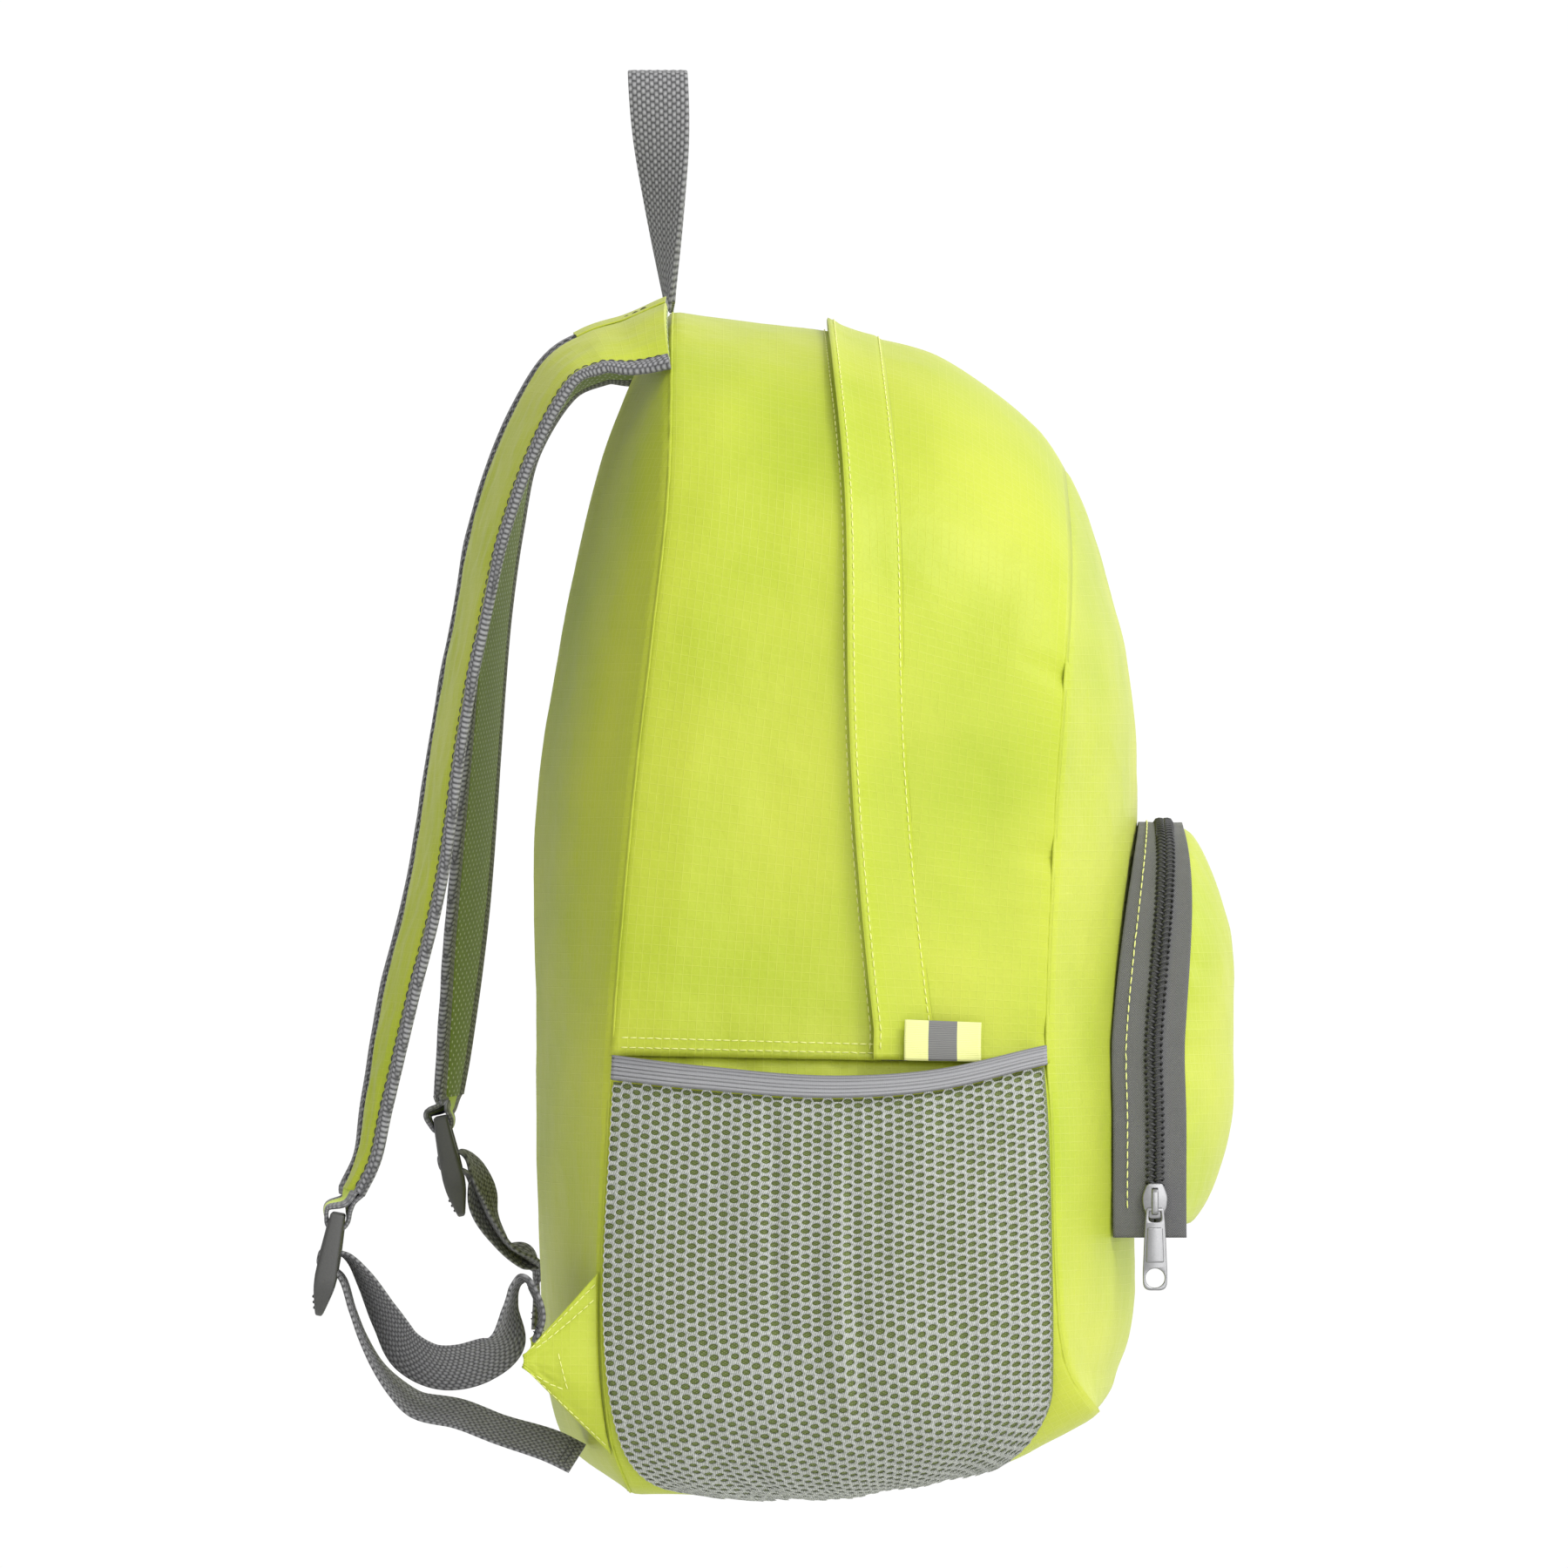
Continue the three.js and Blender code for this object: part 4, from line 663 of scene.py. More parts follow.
def bandCloth(name, turns, low, high, columns, seed, node, hem=0.0, calm=1.0, hang=None):
    t, length = evenTurns(*turns, band["step"])
    share = np.linspace(0, 1, columns + 1)
    lows, highs = low(t)[:, None], high(t)[:, None]
    across = lows + (highs - lows) * share
    base = bandPoint(t[:, None], across)
    toBack, toFront = across * bag["depth"], (1 - across) * bag["depth"]
    edge = np.minimum(toBack, toFront)
    ends = np.minimum(length, length[-1] - length)[:, None] + 0 * across
    rise = clothRise(base, edge, np.broadcast_to(length[:, None], across.shape), seed, calm)
    out = outwardAt(t)[:, None]
    if hem > 0:
        fold = 0.9 / (1 + np.exp(np.minimum((ends - band["hemFold"]) / 0.35, 50)))
        rise = rise * np.minimum(0.25 + ends / 14, 1) + fold
        rise = rise + 0.5 * field.at(along1d(toBack, seed + 9), 9) * np.exp(-ends / 12)
    if hem < 0:
        rise = rise + 1.1 * field.at(along1d(toBack, seed + 5), 8) * np.exp(-ends / 14) - 1.5 * np.exp(-ends / 7)
    if hang is not None:
        rise = rise + hang(t[:, None], across)
    points = base + out * rise[..., None]
    cut = np.stack([np.broadcast_to(length[:, None], across.shape), toBack], -1)
    return clothGrid(name, points, cut, bag["wall"], nylon, nodes=(node,))


# Fine creases that run from the back seam towards the flap over the shoulder, and puckers of the front seam
def shoulderCreases(t, across):
    height = outlineAt(t)[1] + 0 * across
    spot = np.stack([across * 3.0, height * bag["height"] / 5.5, 0 * height], -1)
    fine = field.at(spot, 1.0)
    over = np.exp(-((height - 0.9) / 0.09) ** 2) * np.exp(-((across - 0.2) / 0.25) ** 2)
    return 0.4 * fine * over


def seamNips(t, across):
    height = outlineAt(t)[1]
    near = np.minimum((1 - across) * bag["depth"], 40)
    total = 0
    for at, deep, wide in ((0.585, 2.0, 5.5), (0.775, 2.6, 4.5), (0.40, 1.2, 7)):
        total = total - deep * np.exp(-((height - at) * bag["height"] / wide) ** 2) * np.exp(-near / 9)
    return total


nip = gap / bag["depth"]
bandCloth("rear_side_cloth", (-hemTurn, hemTurn), lambda t: 0 * t, lambda t: zipFrom(t) - nip, 32, 23,
          "gusset_rear", hem=1, hang=shoulderCreases)
bandCloth("front_side_cloth", (-hemTurn, hemTurn), lambda t: zipTo(t) + nip, lambda t: 0 * t + 1, 34, 29,
          "gusset_front", hem=1, hang=seamNips)
bandCloth("lower_side_cloth", (hemTurn, 2 - hemTurn), lambda t: 0 * t, lambda t: 0 * t + 1, 66, 37,
          "lower_gusset", hem=-1)

zipT, zipLength = evenTurns(-hemTurn, hemTurn, 4)
zipAcross = zipFrom(zipT)[:, None] + (zipTo(zipT) - zipFrom(zipT))[:, None] * np.linspace(0, 1, 10)
zipRise = -0.4 + 1.0 * np.exp(-((np.linspace(-1, 1, 10)) / 0.35) ** 2)
zipPoints = bandPoint(zipT[:, None], zipAcross, zipRise[None] + 0 * zipAcross)
zipCut = np.stack([np.broadcast_to(zipLength[:, None], zipAcross.shape), zipAcross * bag["depth"]], -1)
clothGrid("main_zip_tape", zipPoints, zipCut, 0.8, tape, nodes=("main_zip",), slot="zip_tape")


# The storm flap: its free edge is folded under and stands a little off the zip
def flapPoint(t, v, off=0.0):
    free = np.clip(1 - v, 0, 1)
    sway = 0.5 * field.at(along1d(np.asarray(t) * 400, 41), 30)
    lift = band["flapOff"] + (band["flapLift"] + sway) * free ** 2 - 1.2 * np.exp(-((1 - v) * band["flap"] / 1.8) ** 2)
    return bandPoint(t, flapEdge(t) + v * band["flap"] / bag["depth"], lift + off)


flapT, flapLength = evenTurns(-hemTurn + 0.0005, hemTurn - 0.0005, band["step"])
flapV = np.linspace(0, 1, 15)
flapFold = 0.45 / (1 + np.exp((flapV * band["flap"] - 4.4) / 0.25))
flapPucker = 0.22 * field.at(along1d(flapLength, 47), 5.5)[:, None] * np.exp(-((flapV[None] - 0.2) / 0.25) ** 2)
flapPoints = flapPoint(flapT[:, None], flapV[None], flapFold[None] + flapPucker)
flapCut = np.stack([np.broadcast_to(flapLength[:, None], flapPoints.shape[:2]),
                    np.broadcast_to(flapV[None] * band["flap"], flapPoints.shape[:2])], -1)
clothGrid("storm_flap", flapPoints, flapCut, band["flapWall"], nylon, nodes=("zip_flap",))
print("side band made")


# Stitches along a line: small arched threads that dip into the cloth at both ends
def stitchRow(name, line, normals, pitch=3.3, length=2.5, radius=0.24, colour=thread, arch=0.28, jitter=0.12, seed=1):
    draw = np.random.default_rng(seed)
    length3 = np.concatenate([[0], np.cumsum(np.linalg.norm(np.diff(line, axis=0), axis=1))])
    starts = np.arange(pitch * 0.3, length3[-1] - length, pitch)
    sides, rings = 5, np.array([-0.5, -0.28, 0.0, 0.28, 0.5])
    fat = np.array([0.45, 0.95, 1, 0.95, 0.45])
    points, faces = [], []
    pick = lambda at, values: np.stack([np.interp(at, length3, values[:, k]) for k in range(3)], -1)
    for start in starts:
        at = start + (rings + 0.5) * length
        spine = pick(at, line)
        up = unit(pick(at, normals))
        way = unit(spine[-1] - spine[0])
        side = unit(np.cross(way, up)) * (1 + 0 * at[:, None])
        lift = arch * np.cos(rings * math.pi) + draw.normal() * 0.02
        wobble = draw.normal() * jitter
        for r in range(len(rings)):
            centre = spine[r] + up[r] * lift[r] + side[r] * wobble * rings[r]
            for k in range(sides):
                turn = 2 * math.pi * k / sides
                points.append(centre + radius * fat[r] * (math.cos(turn) * side[r] + math.sin(turn) * up[r]))
        base = len(points) - sides * len(rings)
        for r in range(len(rings) - 1):
            for k in range(sides):
                a, b = base + r * sides + k, base + r * sides + (k + 1) % sides
                faces.append([a, a + sides, b + sides, b])
        faces.append([base + k for k in range(sides)])
        faces.append([base + (len(rings) - 1) * sides + k for k in reversed(range(sides))])
    return addPiece(name, np.array(points), faces, colour, slot="ribbon")


def bandStitches(name, turns, acrossAt, off, seed, **facts):
    t, _ = evenTurns(*turns, 3)
    line = bandPoint(t, acrossAt(t), off)
    return stitchRow(name, line, outwardAt(t), seed=seed, **facts)


flapTurns = (-hemTurn + 0.004, hemTurn - 0.004)
tf = evenTurns(*flapTurns, 3)[0]
stitchRow("flap_edge_stitches", flapPoint(tf, 0 * tf + 0.11, 0.55), outwardAt(tf), seed=3)
stitchRow("flap_sewn_stitches", flapPoint(tf, 0 * tf + 0.93, 0.15), outwardAt(tf), seed=4)
bandStitches("zip_side_stitches", flapTurns, lambda t: zipFrom(t) - 4.2 / bag["depth"], 0.25, 5)
print("flap stitched")

# The front pouch: a wall of zip tape, a coil, and a cloth face
pouch = {"width": 160, "height": 151, "lift": 64, "wallTop": 15, "wallFoot": 25, "wallPower": 6, "bulge": 25, "seat": 0.8,
         "power": 2.3, "coilShare": 0.6, "coil": 6.5, "proud": 1.1, "pitch": 2.35, "wire": 0.52,
         "sliderLift": 13.4, "tape": 0.7}
pouchFoot = frontSeam["top"] - bag["frontHeight"] + pouch["lift"]
pouchRows = table("""
    0 0
    0.06 0.326
    0.13 0.528
    0.25 0.71
    0.38 0.8
    0.6 0.779
    0.71 0.707
    0.79 0.581
    0.88 0.394
    0.97 0.155
    1 0""")


def pouchPlan(q, inset=0.0):
    turn = math.pi * np.asarray(q, float)
    power = 2 / pouch["power"]
    x = -np.sign(np.cos(turn)) * np.abs(np.cos(turn)) ** power
    z = np.abs(np.sin(turn)) ** power
    return x * (pouch["width"] / 2 - inset), pouchFoot + z * (pouch["height"] - inset)


def pouchRise(z):
    share = np.clip((z - pouchFoot) / pouch["height"], 0, 1)
    return pouch["wallFoot"] + (pouch["wallTop"] - pouch["wallFoot"]) * share ** pouch["wallPower"]


def pouchWallPoint(q, forward, off=0.0):
    q, forward = np.broadcast_arrays(np.asarray(q, float), np.asarray(forward, float))
    x, z = pouchPlan(q, -np.asarray(off))
    px, pz = pouchPlan(q)
    return np.stack([x, frontY(px, pz) - pouch["seat"] - forward * pouchRise(pz), z], -1)


def evenPouch(step):
    q = np.linspace(0, 1, 3000)
    x, z = pouchPlan(q)
    length = np.concatenate([[0], np.cumsum(np.hypot(np.diff(x), np.diff(z)))])
    count = int(length[-1] / step)
    return np.interp(np.linspace(0, length[-1], count + 1), length, q), np.linspace(0, length[-1], count + 1)


pouchQ, pouchLength = evenPouch(1.6)


def tapeWall(name, low, high, columns, seed, node, pull):
    lows, highs = low(pouchQ)[:, None], high(pouchQ)[:, None]
    forward = lows + (highs - lows) * np.linspace(1, 0, columns + 1)
    rise = pouchRise(pouchPlan(pouchQ)[1])[:, None]
    away = np.abs(forward - pouch["coilShare"]) * rise
    uneven = 0.55 * field.at(along1d(pouchLength, seed), 13)[:, None] * np.minimum(away / 6, 1)
    ripple = 0.35 * field.at(along1d(pouchLength, seed + 2), 5)[:, None] * np.exp(-np.abs(forward - pull) * rise / 3)
    points = pouchWallPoint(pouchQ[:, None], forward, uneven + ripple)
    cut = np.stack([np.broadcast_to(pouchLength[:, None], forward.shape), forward * rise], -1)
    return clothGrid(name, points, cut, pouch["tape"], tape, nodes=(node,), slot="zip_tape")


coilHalf = lambda q: pouch["coil"] / 2 / pouchRise(pouchPlan(q)[1])
tapeWall("pouch_tape_inner", lambda q: 0 * q - 0.01, lambda q: pouch["coilShare"] - 0.1 * coilHalf(q), 14, 51,
         "pocket_tape_inner", 0)
tapeWall("pouch_tape_outer", lambda q: pouch["coilShare"] + 0.1 * coilHalf(q), lambda q: 0 * q + 1.06, 12, 57,
         "pocket_tape_outer", 1)


# A tube of a few sides along each of many short wires, all in one mesh; wires is (count, steps, 3)
def tubes(name, wires, radius, sides, material, fat=None, **facts):
    count, steps = wires.shape[:2]
    way = unit(np.gradient(wires, axis=1))
    helper = np.zeros_like(way)
    helper[..., 2] = 1
    side = unit(np.cross(way, helper + 0.01))
    up = np.cross(side, way)
    fat = np.ones(steps) if fat is None else np.asarray(fat)
    turn = np.linspace(0, 2 * math.pi, sides, endpoint=False)
    ring = side[:, :, None] * np.cos(turn)[:, None] + up[:, :, None] * np.sin(turn)[:, None]
    points = wires[:, :, None] + ring * (radius * fat)[None, :, None, None]
    index = np.arange(count * steps * sides).reshape(count, steps, sides)
    a, b = index[:, :-1], index[:, 1:]
    quads = np.stack([a, b, np.roll(b, -1, 2), np.roll(a, -1, 2)], -1).reshape(-1, 4).tolist()
    caps = index[:, 0].tolist() + index[:, -1, ::-1].tolist()
    flat = points.reshape(-1, 3)
    return addPiece(name, flat, quads + caps, material, np.zeros((len(flat), 2)), **facts)


# Each coil tooth is a wire that comes up from the tape, over and down into the middle
def coilTeeth():
    stations = np.arange(4.0 + pouch["sliderLift"], pouchLength[-1] - 3, pouch["pitch"] / 2)
    wires = []
    for k, at in enumerate(stations):
        side = 1 if k % 2 else -1
        q = float(np.interp(at, pouchLength, pouchQ))
        slant = np.array([0, 0.35, 0.5, 0.3, 0.0, -0.2]) * pouch["pitch"] * 0.5
        aside = side * np.array([2.7, 3.1, 2.6, 1.5, 0.5, -0.3])
        lift = np.array([-0.3, 0.35, 1.15, 1.45, 1.35, 0.7])
        qs = np.interp(at + slant, pouchLength, pouchQ)
        rise = float(pouchRise(pouchPlan(q)[1]))
        wires.append(pouchWallPoint(qs, pouch["coilShare"] + aside / rise, lift))
    return np.array(wires)


tubes("pouch_coil", coilTeeth(), pouch["wire"], 6, coilLook, nodes=("pocket_zip_chain",), slot="zip_coil")


def pouchHalf(height):
    return pouch["width"] / 2 * np.maximum(1 - height ** pouch["power"], 0) ** (1 / pouch["power"])


def pouchFaceY(x, z):
    height = np.clip((z - pouchFoot) / pouch["height"], 0, 1)
    half = np.maximum(pouchHalf(height), gap)
    aside = np.minimum(np.abs(x) / half, 1)
    rim = frontY(half, z) - pouch["seat"] - pouchRise(z)
    return rim - pouch["bulge"] * curve(pouchRows, 1, height) * (1 - aside ** pouch["power"])


def pouchCloth():
    x, z = pouchPlan(pouchQ, 0.9)
    arch = np.stack([x, 0 * x, z], -1)
    footX = np.linspace(x[-1], x[0], 92)[1:-1]
    foot = np.stack([footX, 0 * footX, np.full_like(footX, pouchFoot)], -1)
    edge = np.concatenate([arch, foot])
    isFoot = np.concatenate([np.zeros(len(arch)), np.ones(len(foot))])
    length = np.concatenate([[0], np.cumsum(np.linalg.norm(np.diff(edge, axis=0), axis=1))])
    middle = np.array([0, 0, pouchFoot + pouch["height"] / 2])

    def surface(spot, shares):
        y = pouchFaceY(spot[..., 0], spot[..., 2])
        sewn = frontY(spot[..., 0], spot[..., 2]) - pouch["seat"] - bag["wall"]
        tuck = np.clip((shares - 0.93) / 0.07, 0, 1)[:, None] ** 1.5 * isFoot[None]
        y = y * (1 - tuck) + sewn * tuck
        points = np.stack([spot[..., 0], y, spot[..., 2]], -1)
        inset = (1 - shares)[:, None] * np.linalg.norm(edge - middle, axis=-1)[None]
        rise = clothRise(points, inset + 30 * isFoot[None], np.broadcast_to(length, inset.shape), 61, 0.9)
        star = 0.9 * field.at(along1d(length, 63), 9)[None] * np.exp(-inset / 13) * np.minimum(inset / 2, 1)
        points[..., 1] -= rise + star * (1 - isFoot[None])
        return points

    kept = dict(panel)
    panel["rings"] = 46
    ringMesh("pouch_cloth", edge, middle, surface, bag["wall"], -1, nodes=("pocket_face",))
    panel.update(kept)


pouchCloth()
innerLine = pouchWallPoint(pouchQ[6:-6], 0.2, 0.45)
stitchRow("pouch_tape_stitches", innerLine, unit((innerLine - [0, 0, pouchFoot + 40]) * [1, 0, 1]),
          pitch=3.6, length=2.9, radius=0.26, seed=8)
print("pouch made")


# A flat plate with holes from 2D outlines, its edges rounded, moved by a function of (x, y, depth)
def plate(name, loops, thickness, bevel, moved, material, resolution=2, **facts):
    flat = bpy.data.curves.new(name, "CURVE")
    flat.dimensions, flat.fill_mode = "2D", "BOTH"
    flat.extrude, flat.bevel_depth = (thickness / 2 - bevel), bevel
    flat.bevel_resolution = resolution
    flat.offset = -bevel
    for loop in loops:
        spline = flat.splines.new("POLY")
        spline.points.add(len(loop) - 1)
        spline.points.foreach_set("co", np.array([[x, y, 0, 1] for x, y in loop], float).ravel())
        spline.use_cyclic_u = True
    holder = bpy.data.objects.new(name + "_flat", flat)
    bpy.context.scene.collection.objects.link(holder)
    bpy.context.view_layer.update()
    made = bpy.data.meshes.new_from_object(holder.evaluated_get(bpy.context.evaluated_depsgraph_get()))
    points = np.array([v.co[:] for v in made.vertices])
    faces = [list(p.vertices) for p in made.polygons]
    bpy.data.objects.remove(holder)
    bpy.data.curves.remove(flat)
    placed = np.array([moved(*p) for p in points])
    piece = addPiece(name, placed, faces, material, np.zeros((len(placed), 2)), **facts)
    clean(piece)
    return piece


# Welds a piece's points and turns its faces out
def clean(piece, sharp=35):
    work = bmesh.new()
    work.from_mesh(piece.data)
    bmesh.ops.remove_doubles(work, verts=work.verts, dist=0.00001)
    bmesh.ops.recalc_face_normals(work, faces=work.faces)
    work.to_mesh(piece.data)
    work.free()
    piece.data.set_sharp_from_angle(angle=math.radians(sharp))


def roundLoop(pairs, radius, steps=5):
    out = []
    for k, corner in enumerate(pairs):
        here, before, after = (np.array(p, float) for p in (corner, pairs[k - 1], pairs[(k + 1) % len(pairs)]))
        r = radius[k] if hasattr(radius, "__len__") else radius
        r = min(r, np.linalg.norm(before - here) * 0.49, np.linalg.norm(after - here) * 0.49)
        a, b = here + unit(before - here) * r, here + unit(after - here) * r
        for s in np.linspace(0, 1, steps + 1):
            out.append(tuple(a * (1 - s) ** 2 + here * 2 * s * (1 - s) + b * s * s))
    return out


def circle(x, y, radius, steps=28):
    return [(x + radius * math.cos(a), y + radius * math.sin(a))
            for a in np.linspace(0, 2 * math.pi, steps, endpoint=False)]


# Slider and pull of the pouch zip, on its near side
zipper = {"width": 9.6, "height": 13, "thick": 2.0, "bailWidth": 2.4, "bailBar": 1.2, "bailReach": 3.2,
          "bailHeight": 10, "pullLength": 30, "pullWidth": 9, "pullThick": 1.0}
sliderZ = pouchFoot + pouch["sliderLift"]
sliderTurn = math.asin((pouch["sliderLift"] / pouch["height"]) ** (pouch["power"] / 2)) / math.pi
sliderAt = pouchWallPoint(sliderTurn, pouch["coilShare"], pouch["proud"] + gap)
onSlider = lambda x, y, depth: (sliderAt[0] - depth, sliderAt[1] - x, sliderZ + y)
w, h = zipper["width"] / 2, zipper["height"] / 2
body = roundLoop([(-w * 0.62, h), (-w, h * 0.25), (-w * 0.92, -h * 0.35), (-w * 0.55, -h), (w * 0.55, -h),
                  (w * 0.92, -h * 0.35), (w, h * 0.25), (w * 0.62, h)], 1.6)
plate("zip_slider_body", [body], 1.5, 0.45, lambda x, y, d: onSlider(x, y, d + 1.15), nickel,
      nodes=("zip_slider",), slot="nickel")
plate("zip_slider_back", [body], 1.0, 0.3, lambda x, y, d: onSlider(x * 0.94, y * 0.94, d - 0.2), nickel,
      slot="nickel")
reach, tall = zipper["thick"] + zipper["bailReach"], zipper["bailHeight"] / 2
bailLoop = roundLoop([(zipper["thick"] - 0.6, -tall), (reach, -tall), (reach, tall - 0.4), (zipper["thick"] - 0.6, tall)],
                     [0.3, 1.5, 1.9, 0.3])
inner = reach - zipper["bailBar"]
bailHole = roundLoop([(zipper["thick"] - 0.1, -tall + zipper["bailBar"]), (inner, -tall + zipper["bailBar"]),
                      (inner, tall - zipper["bailBar"] - 0.3), (zipper["thick"] - 0.1, tall - zipper["bailBar"])],
                     [0.2, 0.8, 1.0, 0.2])
plate("zip_slider_bail", [bailLoop, bailHole], zipper["bailWidth"], 0.35,
      lambda x, y, d: onSlider(d, y, x), nickel, slot="nickel")

pivotDepth = zipper["thick"] + (zipper["bailReach"] - zipper["bailBar"]) / 2
pivotRise = -(tall - zipper["bailBar"]) + gap + zipper["pullThick"] / 2
onPull = lambda x, y, depth: onSlider(x, y + pivotRise, depth + pivotDepth)
pw, top, end = zipper["pullWidth"] / 2, zipper["pullThick"] / 2, zipper["pullThick"] / 2 - zipper["pullLength"]
pullLoop = roundLoop([(-pw * 0.72, top), (-pw * 0.84, -6), (-pw, end + pw * 1.3), (-pw * 0.95, end), (pw * 0.95, end),
                      (pw, end + pw * 1.3), (pw * 0.84, -6), (pw * 0.72, top)], [1, 2, 3, 4.2, 4.2, 3, 2, 1], 8)
eye = roundLoop([(-2.1, -0.65), (2.1, -0.65), (2.4, -4.6), (-2.4, -4.6)], [0.5, 0.5, 1.6, 1.6])
plate("zip_pull_tab", [pullLoop, eye, circle(0, end + pw, pw - 1.0)], zipper["pullThick"], 0.28, onPull, nickel,
      nodes=("zip_pull",), slot="nickel", body="pull")
facePlate = roundLoop([(-pw * 0.62, -6.6), (pw * 0.62, -6.6), (pw * 0.74, end + pw * 2.25), (-pw * 0.74, end + pw * 2.25)], 0.8)
plate("zip_pull_plate", [facePlate], 1.5, 0.3, onPull, nickel, slot="nickel", body="pull")
print("zip fittings made")

# Side pockets of net under a ribbed elastic; the holes are real, in a staggered lattice
pocket = {"stand": 10, "elastic": 8.5, "elasticWall": 1.3, "gather": 3.2, "belly": 0.7, "column": 3.55, "row": 3.55,
          "holeWide": 0.43, "holeTall": 0.31, "thick": 0.7, "crown": 0.38, "shadowSheetDepth": 1.0}
meshEdge = table("""
    0 0.01 0.99
    0.55 0.01 0.99
    0.8 0.03 0.96
    0.92 0.08 0.88
    1 0.2 0.78""")
elasticSag = table("""
    0 0
    0.2 0.02
    0.5 0.04
    0.75 0.02
    1 -0.05""")
gathers = table("""
    0.12 0.75 1 0.06 0.5
    0.38 0.1 0.55 0.05 0.8
    0.54 0.02 0.75 0.04 1
    0.66 0.05 0.6 0.05 0.6
    0.8 0.15 0.5 0.06 0.4
    0.3 0 0.3 0.035 0.5
    0.72 0 0.35 0.035 0.5""")
creases = table("""
    0.385 0 0.62 0.022 3.0
    0.555 0 0.75 0.024 3.8
    0.62 0.02 0.5 0.02 0.8
    0.47 0.3 0.8 0.025 0.8
    0.2 0.7 1.02 0.03 1.2
    0.27 0.74 1.02 0.02 1.0""")
hemTurnGap = gap * perMillimetre
meshFrom = hemTurn + hemTurnGap
meshTo = outline["cornerEnd"] - (outline["cornerEnd"] - outline["sideEnd"]) / 8
elasticTurn = float(sideTurn(hemShare - pocket["elastic"] / bag["height"])) - hemTurn


def elasticTop(v):
    return sideTurn(hemShare - curve(elasticSag, 1, v) * hemShare)


def pocketStand(across, down):
    belly = np.sin(math.pi * np.clip(across, 0, 1)) ** pocket["belly"]
    return pocket["stand"] * belly * (1 - np.clip(down, 0, 1) ** 2)


def gatherRise(v, down):
    rise = 0
    for at, start, stop, wide, share in gathers:
        along = np.maximum(1 - ((down - (start + stop) / 2) / ((stop - start) / 2)) ** 2, 0)
        rise = rise + share * pocket["gather"] * along * np.exp(-((v - at) / wide) ** 2)
    for at, start, stop, wide, share in creases:
        along = np.maximum(1 - ((down - (start + stop) / 2) / ((stop - start) / 2)) ** 2, 0) ** 0.7
        lean = at + 0.03 * (down - 0.4)
        rise = rise - share * along * np.exp(-((v - lean) / wide) ** 2)
    return rise


def pocketPoint(sign, v, down, off=0.0):
    v, down = np.broadcast_arrays(np.asarray(v, float), np.asarray(down, float))
    turn = elasticTop(v) + elasticTurn + hemTurnGap
    turn = turn + (meshTo - turn) * down
    rear, front = curve(meshEdge, 1, down), curve(meshEdge, 2, down)
    across = rear + (front - rear) * v
    wave = 0.9 * field.at(np.stack([v * 9, down * 2.2, 0 * v + sign], -1), 1.0) * np.sin(math.pi * np.clip(v, 0, 1)) ** 0.5
    away = 2 * gap + 1.6 + pocketStand(across, down) + gatherRise(v, down) + wave
    return bandPoint(sign * turn, across, away + off)


